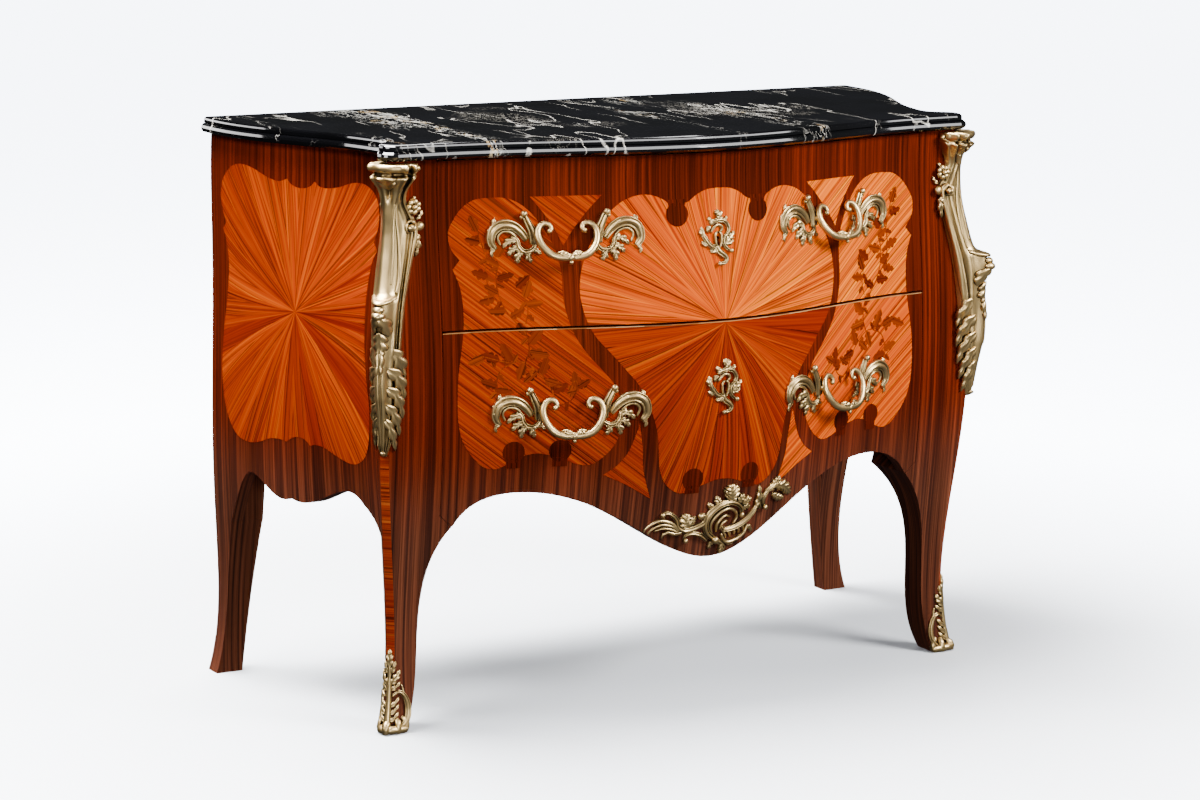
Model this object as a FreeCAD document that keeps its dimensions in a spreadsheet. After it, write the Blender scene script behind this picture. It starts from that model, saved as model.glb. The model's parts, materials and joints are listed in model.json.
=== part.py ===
"""Serpentine two-drawer commode with swelling sides, a marble top and cast bronze mounts.

Frame: +Z up, the front faces -Y, +X to the right seen from the front.
The origin is on the floor at the middle of the overall box. Lengths are millimetres.
"""
import FreeCAD, Part
import math
import os
from types import SimpleNamespace
from FreeCAD import Vector, Placement, Rotation

# Driving dimensions: name, value, what it is.
SIZES = [
    ("overall_height", 870, "floor to the top of the marble"),
    ("origin_to_back", 278.3, "origin to the carcass back plane"),
    ("top_thickness", 24, "marble slab"),
    ("top_overhang", 15, "marble past the carcass at the front and sides"),
    ("top_back_overhang", 4, "marble past the back plane"),
    ("top_upper_tier", 9, "height of the set-back upper moulding of the marble"),
    ("top_tier_step", 5, "set-back of the upper moulding"),
    ("top_tier_round", 4.5, "round on the upper moulding"),
    ("top_corner_round", 24, "plan radius of the front corners of the marble"),
    ("corner_half_width", 502, "centre line to the front corner at the crown"),
    ("corner_depth", 440, "back plane to the front corner at the crown"),
    ("corner_chamfer", 9, "each leg of the cant along the front corner"),
    ("waist_half_width", 473, "centre line to the hollow of the side"),
    ("waist_depth", 385, "back plane to the hollow of the side"),
    ("rear_half_width", 584, "centre line to the rear corner"),
    ("side_fullness", 1.2, "how far forward the sides stay full, as a power"),
    ("bell_half_width", 460, "half width of the bow of the front"),
    ("ankle_height", 150, "narrowest place of the legs"),
    ("knee_height", 320, "top of the legs"),
    ("belly_height", 520, "fullest place of the body"),
    ("shoulder_height", 700, "where the body draws in under the top"),
    ("foot_swell", 9, "corner past the crown at the floor"),
    ("ankle_swell", 0, "corner past the crown at the ankle"),
    ("knee_swell", 14, "corner past the crown at the knee"),
    ("belly_swell", 22, "corner past the crown at the belly"),
    ("shoulder_swell", 7, "corner past the crown at the shoulder"),
    ("foot_bulge", 62, "bow of the front at the floor"),
    ("ankle_bulge", 67, "bow of the front at the ankle"),
    ("knee_bulge", 83, "bow of the front at the knee"),
    ("belly_bulge", 91, "bow of the front at the belly"),
    ("shoulder_bulge", 82, "bow of the front at the shoulder"),
    ("crown_bulge", 75, "bow of the front under the marble"),
    ("foot_rear_flare", 10, "rear corner past the body at the floor"),
    ("ankle_rear_tuck", 7, "rear corner inside the body at the ankle"),
    ("opening_half_width", 427, "centre line to the stile beside the drawers"),
    ("stile_back_depth", 340, "back plane to the rear face of a front stile"),
    ("drawer_corner_height", 322, "foot of the straight edge of the lower drawer front"),
    ("arch_join_half_width", 407, "where the apron meets the leg, from the centre line"),
    ("arch_join_height", 304, "where the apron meets the leg, from the floor"),
    ("leg_hip_half_width", 445, "inner edge of a front leg below its arch"),
    ("leg_hip_height", 235, "height of that place"),
    ("leg_ankle_half_width", 455, "inner edge of a front leg at the ankle"),
    ("leg_foot_half_width", 479, "inner edge of a front leg at the floor"),
    ("leg_arch_depth", 371, "rear edge of a front leg in its arch, from the back plane"),
    ("leg_arch_height", 290, "height of that place"),
    ("side_join_height", 321, "where the side apron meets a front leg"),
    ("leg_hip_depth", 390, "rear edge of a front leg below its arch, from the back plane"),
    ("leg_ankle_depth", 395, "rear edge of a front leg at the ankle"),
    ("leg_foot_depth", 405, "rear edge of a front leg at the floor"),
    ("apron_drop_height", 229, "lowest place of the front apron"),
    ("apron_arch_height", 350, "top of the front arches"),
    ("apron_arch_half_width", 305, "centre line to the top of a front arch"),
    ("apron_mid_height", 300, "front apron half way down to the drop"),
    ("apron_mid_half_width", 153, "centre line to that place"),
    ("apron_shoulder_height", 337, "front arch near the leg"),
    ("apron_shoulder_half_width", 372, "centre line to that place"),
    ("side_thickness", 20, "side panels"),
    ("side_arch_height", 336, "top of the side arches"),
    ("side_front_arch_depth", 298, "back plane to the top of the front side arch"),
    ("side_rear_arch_depth", 112, "back plane to the top of the rear side arch"),
    ("side_drop_height", 305, "lowest place of the side apron"),
    ("side_drop_rear_depth", 178, "rear lobe of the side apron"),
    ("side_drop_front_depth", 216, "front lobe of the side apron"),
    ("side_cusp_depth", 196, "notch between the two lobes"),
    ("side_cusp_height", 309, "height of the notch"),
    ("rear_stile_depth", 56, "rear stiles, front to back"),
    ("rear_stile_half_width", 519, "centre line to the inner face of a rear stile"),
    ("rear_leg_foot_half_width", 550, "inner face of a rear leg at the floor"),
    ("rear_leg_ankle_depth", 37, "rear leg at the ankle, front to back"),
    ("rear_leg_foot_depth", 31, "rear leg at the floor, front to back"),
    ("rear_leg_hip_height", 240, "where the rear leg reaches its full depth"),
    ("back_thickness", 10, "back panel"),
    ("back_inset", 3, "back panel behind the back plane of the stiles"),
    ("back_field_margin", 60, "border round the sunk fields of the back panel"),
    ("back_field_sink", 3, "depth of the sunk fields"),
    ("rail_height", 22, "all rails and runners, top to bottom"),
    ("rail_back_depth", 340, "back plane to the rear face of a front rail"),
    ("back_rail_depth", 42, "back rails, front to back"),
    ("rail_front_gap", 1, "front rails behind the drawer fronts"),
    ("runner_inner_half_width", 385, "centre line to the inner edge of a runner"),
    ("runner_width", 62, "runners, across"),
    ("guide_width", 10, "drawer guides, across"),
    ("guide_height", 18, "drawer guides, up from the runner"),
    ("dust_board_thickness", 8, "boards inside the frames"),
    ("split_height", 595.5, "joint between the two drawers"),
    ("drawer_gap", 3, "visible gap round the drawer fronts"),
    ("stile_gap", 1.2, "gap between a drawer front and a stile"),
    ("bottom_frame_height", 356, "underside of the lowest frame"),
    ("front_thickness", 24, "drawer fronts"),
    ("drawer_side_thickness", 12, "drawer sides and backs"),
    ("drawer_side_half_width", 415.4, "centre line to the outside of a drawer side"),
    ("drawer_head_room", 6, "drawer sides below the rail above them"),
    ("drawer_back_clearance", 17, "drawer sides ahead of the back rail face"),
    ("drawer_back_drop", 14, "drawer back below the sides"),
    ("drawer_floor_thickness", 8, "drawer bottoms"),
    ("drawer_floor_lift", 7, "drawer bottom above the runner"),
    ("drawer_floor_tongue", 5, "drawer bottom let into the sides"),
    ("slide_clearance", 0.3, "drawer sides above the runners"),
    ("fit_clearance", 0.2, "boards in their grooves"),
    ("dovetail_length", 14, "tails let into the drawer fronts"),
    ("dovetail_slope", 3, "widening of a tail from root to end"),
    ("dovetail_width", 26, "tails at the root"),
    ("upper_key_height", 716, "keyhole of the upper drawer"),
    ("lower_key_height", 496, "keyhole of the lower drawer"),
    ("key_round", 3.2, "round of a keyhole"),
    ("key_slot_width", 3.2, "slot of a keyhole"),
    ("key_slot_length", 11, "slot of a keyhole, down from its round"),
    ("lock_width", 66, "lock case"),
    ("lock_height", 52, "lock case"),
    ("lock_depth", 16, "lock case"),
    ("lock_plate", 2, "lock case walls"),
    ("lock_sink", 2, "lock case let into the drawer front"),
    ("bolt_width", 20, "lock bolt"),
    ("bolt_depth", 6, "lock bolt"),
    ("bolt_set_back", 9, "middle of the bolt behind the inner face of the drawer front"),
    ("bolt_mortise", 14, "depth of the slot for the bolt"),
    ("bolt_rest_gap", 3, "bolt below its mortise when drawn back"),
    ("bolt_clearance", 0.6, "round the bolt in the lock and in its mortise"),
    ("lock_screw_round", 2, "lock screws"),
    ("lock_screw_head", 3.6, "heads of the lock screws"),
    ("lock_screw_length", 12, "lock screws"),
    ("lock_screw_inset", 7, "lock screws from the edges of the case"),
    ("handle_half_span", 236, "centre line to the middle of a handle"),
    ("upper_handle_height", 727, "middle of the upper handles"),
    ("lower_handle_height", 470, "middle of the lower handles"),
    ("plate_relief", 7, "bronze plates, out from the drawer fronts"),
    ("mount_gap", 0.2, "bronze mounts clear of the wood they are pinned to"),
    ("bow_round", 4.2, "radius of the handle bow"),
    ("bow_half_width", 44, "handle bow, centre to side"),
    ("bow_drop", 29, "handle bow below its middle"),
    ("bow_rise", 8, "straight side of the bow"),
    ("bow_belly_radius", 55, "radius along the foot of the bow"),
    ("bow_curl_radius", 12, "radius of the curled ends"),
    ("bow_stand_off", 25, "foot of the bow, out from the drawer front"),
    ("bow_top_stand_off", 14, "sides of the bow, out from the drawer front"),
    ("pad_margin", 8, "slab round a mount, beyond its tips"),
    ("handle_half_length", 116, "handle, middle to its tips"),
    ("handle_half_height", 37, "handle plate, middle to its top"),
    ("knop_round", 7.5, "knop in the middle of the bow"),
    ("post_spread", 43, "handle middle to its posts"),
    ("lug_round", 5, "lugs that carry the bow"),
    ("post_round", 3, "threaded posts of the handles"),
    ("post_clearance", 0.3, "round a post in its hole"),
    ("post_tip", 2, "post past its nut"),
    ("nut_round", 7, "nuts on the posts"),
    ("nut_height", 4, "nuts on the posts"),
    ("nut_clearance", 0.05, "thread gap between a post and its nut"),
    ("nut_recess_clearance", 1, "round a nut in its recess"),
    ("escutcheon_half_height", 41, "escutcheon, middle to its tips"),
    ("escutcheon_half_width", 31, "escutcheon, middle to its sides"),
    ("apron_mount_height", 287, "middle of the apron mount"),
    ("apron_mount_half_width", 130, "apron mount, middle to its tips"),
    ("apron_mount_half_height", 55, "apron mount, middle to top and foot"),
    ("apron_mount_shift", 8, "apron mount right of the centre line"),
    ("chute_foot_height", 420, "lower tip of a corner mount"),
    ("chute_top_gap", 5, "corner mount below the marble"),
    ("chute_width", 58, "corner mount at its broadest"),
    ("chute_relief", 20, "corner mount, out from the corner"),
    ("volute_round", 11, "scrolls on the sides of a corner mount"),
    ("volute_height", 722, "middle of those scrolls"),
    ("volute_spread", 27, "those scrolls from the corner line"),
    ("husk_height", 640, "lip of the husk on a corner mount"),
    ("husk_round", 14, "round of that lip"),
    ("sabot_height", 122, "foot mount, floor to tip"),
    ("sabot_relief", 6, "foot mount, out from the leg"),
    ("sabot_reach", 36, "foot mount round the corner of the leg"),
    ("cut_overrun", 5, "how far cutting shapes run past what they cut"),
]

doc = FreeCAD.newDocument("commode")
sheet = doc.addObject("Spreadsheet::Sheet", "Sizes")
for row, (alias, value, note) in enumerate(SIZES, 1):
    sheet.set(f"A{row}", alias)
    sheet.set(f"B{row}", str(value))
    sheet.set(f"C{row}", note)
    sheet.setAlias(f"B{row}", alias)
doc.recompute()
s = SimpleNamespace(**{alias: float(sheet.get(alias)) for alias, value, note in SIZES})

CARCASS = "(Sizes.overall_height - Sizes.top_thickness)"
BACK = "Sizes.origin_to_back"
carcass_height = s.overall_height - s.top_thickness
reach = s.overall_height
finished = []


# Small helpers that put objects in the document.
def feature(name, shape):
    """A plain shape worked out from the sheet."""
    made = doc.addObject("Part::Feature", name)
    made.Shape = shape
    return made


def bind(made, **expressions):
    """Ties properties of an object to cells; Placement parts are named x, y and z."""
    for key, expression in expressions.items():
        path = f".Placement.Base.{key}" if key in "xyz" else key
        made.setExpression(path, expression)
    return made


def block(name, x, y, z, length, width, height):
    """A board with its low corner and its sizes given as expressions on the sheet."""
    made = doc.addObject("Part::Box", name)
    return bind(made, x=x, y=y, z=z, Length=length, Width=width, Height=height)


def rod(name, radius, height, place, rotation=None):
    """A cylinder whose radius and height are expressions, standing at a place."""
    made = doc.addObject("Part::Cylinder", name)
    made.Placement = Placement(place, rotation or Rotation())
    return bind(made, Radius=radius, Height=height)


def cut(name, base, *tools):
    """The base less every tool."""
    made = base
    for count, tool in enumerate(tools):
        step = doc.addObject("Part::Cut", name if count == len(tools) - 1 else f"{name}_step{count}")
        step.Base = made
        step.Tool = tool
        made = step
    return made


def common(name, *shapes):
    """What all the shapes share."""
    made = doc.addObject("Part::MultiCommon", name)
    made.Shapes = list(shapes)
    return made


def fuse(name, shapes):
    """All the shapes as one."""
    made = doc.addObject("Part::MultiFuse", name)
    made.Shapes = list(shapes)
    made.Refine = False
    return made


def extrude(name, wire, direction, length):
    """A prism of a flat outline, half of it to each side; length is an expression."""
    outline = feature(f"{name}_outline", Part.Face(wire))
    made = doc.addObject("Part::Extrusion", name)
    made.Base = outline
    made.DirMode = "Custom"
    made.Dir = direction
    made.Symmetric = True
    made.Solid = True
    return bind(made, LengthFwd=length)


def mirrored(name, source):
    """The same piece on the other side of the centre line."""
    made = doc.addObject("Part::Mirroring", name)
    made.Source = source
    made.Normal = Vector(1, 0, 0)
    return made


def done(label, made):
    """Marks an object as a sub-part of the commode under its own label."""
    made.Label = label
    finished.append(made)
    return made


def pair(label, right):
    """Finishes a right-hand piece and its mirror image on the left."""
    done(f"right_{label}", right)
    return right, done(f"left_{label}", mirrored(f"left_{label}", right))


# The shape of the body, level by level.
LEVELS = [
    (0.0, s.foot_swell, s.foot_bulge, s.rear_half_width + s.foot_rear_flare),
    (s.ankle_height, s.ankle_swell, s.ankle_bulge, s.rear_half_width - s.ankle_rear_tuck),
    (s.knee_height, s.knee_swell, s.knee_bulge, s.rear_half_width),
    (s.belly_height, s.belly_swell, s.belly_bulge, s.rear_half_width),
    (s.shoulder_height, s.shoulder_swell, s.shoulder_bulge, s.rear_half_width),
    (carcass_height, 0.0, s.crown_bulge, s.rear_half_width),
]
FRONT_STEPS = 24
SIDE_STEPS = 10
FLARE_STEPS = 4
QUARTER_TURN = math.pi / 2


def bell(x):
    """Bow of the front across its width: 1 at the centre line, 0 at the stiles."""
    return (1 + math.cos(math.pi * min(abs(x) / s.bell_half_width, 1.0))) / 2


def side_x(depth, corner_x, waist_x, rear_x, straight_from):
    """Half width of the body at a depth from the back plane: an S from rear to corner."""
    if depth <= s.waist_depth:
        share = (1 + math.cos(math.pi * (depth / s.waist_depth) ** s.side_fullness)) / 2
        return waist_x + (rear_x - waist_x) * share
    share = (1 - math.cos(math.pi * (depth - s.waist_depth) / (straight_from - s.waist_depth))) / 2
    return waist_x + (corner_x - waist_x) * share


def spline(points):
    """A smooth edge through points."""
    curve = Part.BSplineCurve()
    curve.interpolate(points)
    return curve.toShape()


def plan_wire(z, swell, bulge, rear_x, grow=0.0, back=0.0, corner=None):
    """Outline of the body at one level, grown outwards; the front corner is canted or round."""
    corner_x = s.corner_half_width + swell + grow
    corner_s = s.corner_depth + swell + grow
    waist_x = s.waist_half_width + swell + grow
    cant = corner or s.corner_chamfer
    front_x = corner_x - cant
    side_s = corner_s - cant

    def at(x, depth):
        return Vector(x, s.origin_to_back - depth, z)

    steps = [front_x * (2 * i / FRONT_STEPS - 1) for i in range(FRONT_STEPS + 1)]
    front = [at(x, corner_s + bulge * bell(x)) for x in steps]
    depths = [side_s + (s.waist_depth - side_s) * i / FLARE_STEPS for i in range(FLARE_STEPS)]
    depths += [s.waist_depth + (-back - s.waist_depth) * i / SIDE_STEPS for i in range(SIDE_STEPS + 1)]
    halves = [side_x(max(d, 0.0), corner_x, waist_x, rear_x + grow, side_s) for d in depths]
    right = [at(x, d) for x, d in zip(halves, depths)]
    left = [at(-x, d) for x, d in zip(halves, depths)]
    if corner:
        middle = corner * math.sin(math.pi / 4)
        turn = at(front_x + middle, side_s + middle)
        turn_left = at(-front_x - middle, side_s + middle)
        corner_edge = Part.Arc(front[-1], turn, right[0]).toShape()
        corner_left = Part.Arc(left[0], turn_left, front[0]).toShape()
    else:
        corner_edge = Part.makeLine(front[-1], right[0])
        corner_left = Part.makeLine(left[0], front[0])
    return Part.Wire([
        spline(front), corner_edge, spline(right), Part.makeLine(right[-1], left[-1]), spline(left[::-1]),
        corner_left,
    ])


def grown_sections(name, grow, back=0.0):
    """The outline at every level, grown outwards and carried past the back plane."""
    return [feature(f"{name}{i}", plan_wire(*level, grow, back)) for i, level in enumerate(LEVELS)]


sections = grown_sections("plan", 0.0)


def body_loft(name, x="0", y="0"):
    """The whole swelling body as one solid, set aside by x and y."""
    made = doc.addObject("Part::Loft", name)
    made.Sections = sections
    made.Solid = True
    return bind(made, x=x, y=y)


body = body_loft("body")
front_core = body_loft("front_core", y="Sizes.front_thickness")
rail_core = body_loft("rail_core", y="Sizes.front_thickness + Sizes.rail_front_gap")
doc.recompute()
body_faces = body.Shape.copy()


def front_y(x, z):
    """Where the front of the body lies at a place of its elevation."""
    probe = Part.makeLine(Vector(x, -reach, z), Vector(x, s.origin_to_back - s.waist_depth, z))
    return min(v.Point.y for v in body_faces.common(probe).Vertexes)


# Outlines in elevation: the front is drawn on X and Z, the side on depth and Z.
def on_front(x, z):
    return Vector(x, 0, z)


def on_side(depth, z):
    return Vector(0, s.origin_to_back - depth, z)


def chain(points, place):
    """Straight edges through points of an elevation."""
    placed = [place(*p) for p in points]
    return [Part.makeLine(a, b) for a, b in zip(placed, placed[1:])]


wide = s.rear_half_width + s.foot_rear_flare + s.cut_overrun
deep = s.corner_depth + s.belly_swell + s.belly_bulge + s.cut_overrun
leg_inner = spline([
    on_front(s.arch_join_half_width, s.arch_join_height),
    on_front(s.leg_hip_half_width, s.leg_hip_height),
    on_front(s.leg_ankle_half_width, s.ankle_height),
    on_front(s.leg_foot_half_width, 0),
])
stile_front = Part.Wire(chain([
    (s.leg_foot_half_width, 0), (wide, 0), (wide, carcass_height),
    (s.opening_half_width, carcass_height), (s.opening_half_width, s.drawer_corner_height),
    (s.arch_join_half_width, s.arch_join_height),
], on_front) + [leg_inner])
leg_rear = spline([
    on_side(s.stile_back_depth, s.side_join_height),
    on_side(s.leg_arch_depth, s.leg_arch_height),
    on_side(s.leg_hip_depth, s.leg_hip_height),
    on_side(s.leg_ankle_depth, s.ankle_height),
    on_side(s.leg_foot_depth, 0),
])
stile_side = Part.Wire(chain([
    (s.leg_foot_depth, 0), (deep, 0), (deep, carcass_height),
    (s.stile_back_depth, carcass_height), (s.stile_back_depth, s.side_join_height),
], on_side) + [leg_rear])
stile_zone = common(
    "stile_zone",
    extrude("stile_front", stile_front, Vector(0, 1, 0), f"2 * {CARCASS}"),
    extrude("stile_side", stile_side, Vector(1, 0, 0), f"2 * {CARCASS}"),
)
pair("front_stile", common("right_front_stile", stile_zone, body))

# Rear stiles: square posts that taper into sabre legs.
rear_leg_front = spline([
    on_side(s.rear_stile_depth, s.rear_leg_hip_height + s.ankle_rear_tuck),
    on_side(s.rear_leg_ankle_depth, s.ankle_height),
    on_side(s.rear_leg_foot_depth, 0),
])
rear_side = Part.Wire(chain([
    (s.rear_leg_foot_depth, 0), (0, 0), (0, carcass_height), (s.rear_stile_depth, carcass_height),
    (s.rear_stile_depth, s.rear_leg_hip_height + s.ankle_rear_tuck),
], on_side) + [rear_leg_front])
rear_leg_inner = spline([
    on_front(s.rear_stile_half_width, s.bottom_frame_height),
    on_front(s.rear_stile_half_width + s.ankle_rear_tuck, s.leg_hip_height),
    on_front(s.rear_leg_foot_half_width, 0),
])
rear_front = Part.Wire(chain([
    (s.rear_leg_foot_half_width, 0), (wide, 0), (wide, carcass_height),
    (s.rear_stile_half_width, carcass_height), (s.rear_stile_half_width, s.bottom_frame_height),
], on_front) + [rear_leg_inner])
rear_zone = common(
    "rear_zone",
    extrude("rear_front", rear_front, Vector(0, 1, 0), f"2 * {CARCASS}"),
    extrude("rear_side", rear_side, Vector(1, 0, 0), f"2 * {CARCASS}"),
)
pair("rear_stile", common("right_rear_stile", rear_zone, body))

# Side panels: thin shells of the body between the stiles, with a scalloped lower edge.
side_apron = [
    spline([
        on_side(s.rear_stile_depth, s.rear_leg_hip_height + s.ankle_rear_tuck),
        on_side((s.rear_stile_depth + s.side_rear_arch_depth) / 2, s.side_drop_height),
        on_side(s.side_rear_arch_depth, s.side_arch_height),
        on_side(s.side_drop_rear_depth, s.side_drop_height),
        on_side(s.side_cusp_depth, s.side_cusp_height),
    ]),
    spline([
        on_side(s.side_cusp_depth, s.side_cusp_height),
        on_side(s.side_drop_front_depth, s.side_drop_height),
        on_side(s.side_front_arch_depth, s.side_arch_height),
        on_side(s.stile_back_depth, s.side_join_height),
    ]),
]
side_outline = Part.Wire(side_apron + chain([
    (s.stile_back_depth, s.side_join_height), (s.stile_back_depth, carcass_height),
    (s.rear_stile_depth, carcass_height),
    (s.rear_stile_depth, s.rear_leg_hip_height + s.ankle_rear_tuck),
], on_side))
side_zone = extrude("side_zone", side_outline, Vector(1, 0, 0), f"2 * {CARCASS}")
right_half = block("right_half", "0", f"-{CARCASS}", "0", CARCASS, f"2 * {CARCASS}", CARCASS)
side_core = doc.addObject("Part::Loft", "side_core")
side_core.Sections = grown_sections("side_plan", -s.side_thickness, s.cut_overrun)
side_core.Solid = True
side_blank = common("side_blank", body, side_zone, right_half)
pair("side_panel", cut("right_side_panel", side_blank, side_core))

# Marble top: a half-round nosing below and a set-back, rounded moulding above.
ROUND_STEPS = 6
nose = (s.top_thickness - s.top_upper_tier) / 2
tier_grow = s.top_overhang - s.top_tier_step
tier_low = carcass_height + 2 * nose
profile = []
for i in range(ROUND_STEPS + 1):
    angle = math.pi * (i / ROUND_STEPS - 1 / 2)
    profile.append((carcass_height + nose + nose * math.sin(angle),
                    s.top_overhang - nose + nose * math.cos(angle)))
profile.append((tier_low + s.fit_clearance, tier_grow))
for i in range(ROUND_STEPS // 2 + 1):
    angle = QUARTER_TURN * i / (ROUND_STEPS // 2)
    profile.append((s.overall_height - s.top_tier_round + s.top_tier_round * math.sin(angle),
                    tier_grow - s.top_tier_round + s.top_tier_round * math.cos(angle)))
layers = [
    feature(f"marble_layer{i}", plan_wire(z, 0.0, s.crown_bulge, s.rear_half_width, grow, s.top_back_overhang,
                                          s.top_corner_round))
    for i, (z, grow) in enumerate(profile)
]
marble = doc.addObject("Part::Loft", "marble_top")
marble.Sections = layers
marble.Solid = True
marble.Ruled = True
done("marble_top", marble)


# Frames inside the carcass: front rail, back rail and two runners at three levels.
RAIL_BACK = f"({BACK} - Sizes.rail_back_depth)"
BACK_RAIL_FACE = f"({BACK} - Sizes.back_inset - Sizes.back_thickness - Sizes.back_rail_depth)"
MIDDLE = "(Sizes.split_height - Sizes.rail_height / 2)"
TOP = f"({CARCASS} - Sizes.rail_height)"
BOTTOM = "Sizes.bottom_frame_height"
H = "Sizes.rail_height"


def frame(level, z, runner):
    """The rails and runners of one level; returns the front rail before its mortise."""
    bar = block(f"{level}_bar", "-Sizes.opening_half_width", f"{RAIL_BACK} - {CARCASS}", z,
                "2 * Sizes.opening_half_width", CARCASS, H)
    done(f"{level}_back_rail", block(
        f"{level}_back_rail", "-Sizes.rear_stile_half_width", BACK_RAIL_FACE, z,
        "2 * Sizes.rear_stile_half_width", "Sizes.back_rail_depth", H))
    pair(f"{level}_{runner}", block(
        f"right_{level}_{runner}", "Sizes.runner_inner_half_width", RAIL_BACK, z,
        "Sizes.runner_width", f"{BACK_RAIL_FACE} - {RAIL_BACK}", H))
    return common(f"{level}_rail_blank", bar, rail_core)


top_blank = frame("top", TOP, "kicker")
middle_blank = frame("middle", MIDDLE, "runner")
bottom_blank = frame("bottom", BOTTOM, "runner")
done("bottom_front_rail", bottom_blank)
for label, z in (("dust_board", MIDDLE), ("bottom_board", BOTTOM)):
    done(label, block(
        label, "-Sizes.runner_inner_half_width", RAIL_BACK,
        f"{z} + ({H} - Sizes.dust_board_thickness) / 2", "2 * Sizes.runner_inner_half_width",
        f"{BACK_RAIL_FACE} - {RAIL_BACK}", "Sizes.dust_board_thickness"))
guides = []
for number, z in enumerate((MIDDLE, BOTTOM)):
    right = block(f"guide_{number}", "Sizes.drawer_side_half_width + 2 * Sizes.slide_clearance", RAIL_BACK,
                  f"{z} + {H}", "Sizes.guide_width", f"{BACK_RAIL_FACE} - {RAIL_BACK}", "Sizes.guide_height")
    guides += [right, mirrored(f"guide_{number}_left", right)]
group = doc.addObject("Part::Compound", "drawer_guides")
group.Links = guides
done("drawer_guides", group)

# Back panel with two sunk fields.
PANEL_Y = f"{BACK} - Sizes.back_inset - Sizes.back_thickness"
PANEL_H = f"({CARCASS} - Sizes.bottom_frame_height)"
panel = block("back_blank", "-Sizes.rear_stile_half_width", PANEL_Y, BOTTOM,
              "2 * Sizes.rear_stile_half_width", "Sizes.back_thickness", PANEL_H)
field = block("back_field", "Sizes.back_field_margin / 2",
              f"{BACK} - Sizes.back_inset - Sizes.back_field_sink",
              f"{BOTTOM} + Sizes.back_field_margin",
              "Sizes.rear_stile_half_width - 3 / 2 * Sizes.back_field_margin",
              "Sizes.back_field_sink + Sizes.cut_overrun", f"{PANEL_H} - 2 * Sizes.back_field_margin")
done("back_panel", cut("back_panel", panel, field, mirrored("back_field_left", field)))


# Scrolled ornament: tapering strokes drawn in elevation.
STROKE_STEPS = 6


def stroke(points, first_width, last_width):
    """Outline of one tapering stroke with round ends, on X and Z about the origin."""
    curve = Part.BSplineCurve()
    curve.interpolate([Vector(u, 0, v) for u, v in points])
    start = curve.FirstParameter
    span = curve.LastParameter - start
    above = []
    below = []
    for i in range(STROKE_STEPS + 1):
        share = i / STROKE_STEPS
        place = curve.value(start + span * share)
        way = curve.tangent(start + span * share)[0]
        half = (first_width + (last_width - first_width) * share) / 2
        across = Vector(-way.z, 0, way.x) * half
        above.append(place + across)
        below.append(place - across)
        if i == 0:
            tail_tip = place - way * half
    head_tip = place + way * half
    return Part.Wire([
        spline(above), Part.Arc(above[-1], head_tip, below[-1]).toShape(),
        spline(below[::-1]), Part.Arc(below[0], tail_tip, above[0]).toShape(),
    ])


def ornament(name, shares, width, height, place, turn=None, length="3 * Sizes.belly_bulge"):
    """Strokes given as shares of a half width and half height, as one set of prisms."""
    prisms = []
    for number, (first, last, points) in enumerate(shares):
        wire = stroke([(u * width, v * height) for u, v in points], first * height, last * height)
        outline = feature(f"{name}_stroke{number}", Part.Face(wire))
        outline.Placement = Placement(place, turn or Rotation())
        prism = doc.addObject("Part::Extrusion", f"{name}_prism{number}")
        prism.Base = outline
        prism.DirMode = "Normal"
        prism.Symmetric = True
        prism.Solid = True
        bind(prism, LengthFwd=length)
        prisms.append(prism)
    return fuse(f"{name}_strokes", prisms)


bow_middle = s.origin_to_back - s.corner_depth - s.belly_bulge / 2


proud = doc.addObject("Part::Loft", "proud_body")
proud.Sections = grown_sections("proud_plan", s.mount_gap)
proud.Solid = True
front_zone = block("front_zone", "-Sizes.opening_half_width", f"{RAIL_BACK} - {CARCASS}",
                   "Sizes.apron_drop_height", "2 * Sizes.opening_half_width", CARCASS, CARCASS)
PAD_STEPS = 4
PAD_LEVELS = (-1, 0, 1)


def pad(name, x, z, half_width, half_height, low, high):
    """A curved slab over part of the front; low and high are its faces above the front."""
    rings = []
    for number, level in enumerate(PAD_LEVELS):
        height = z + level * (half_height + s.pad_margin)
        reach_x = half_width + s.pad_margin
        across = [x + reach_x * (2 * i / PAD_STEPS - 1) for i in range(PAD_STEPS + 1)]
        bed = [Vector(u, front_y(u, height), height) for u in across]
        near = [point - Vector(0, low, 0) for point in bed]
        far = [point - Vector(0, high, 0) for point in bed]
        rings.append(feature(f"{name}_ring{number}", Part.Wire([
            spline(near), Part.makeLine(near[-1], far[-1]), spline(far[::-1]), Part.makeLine(far[0], near[0]),
        ])))
    made = doc.addObject("Part::Loft", name)
    made.Sections = rings
    made.Solid = True
    return made


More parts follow.
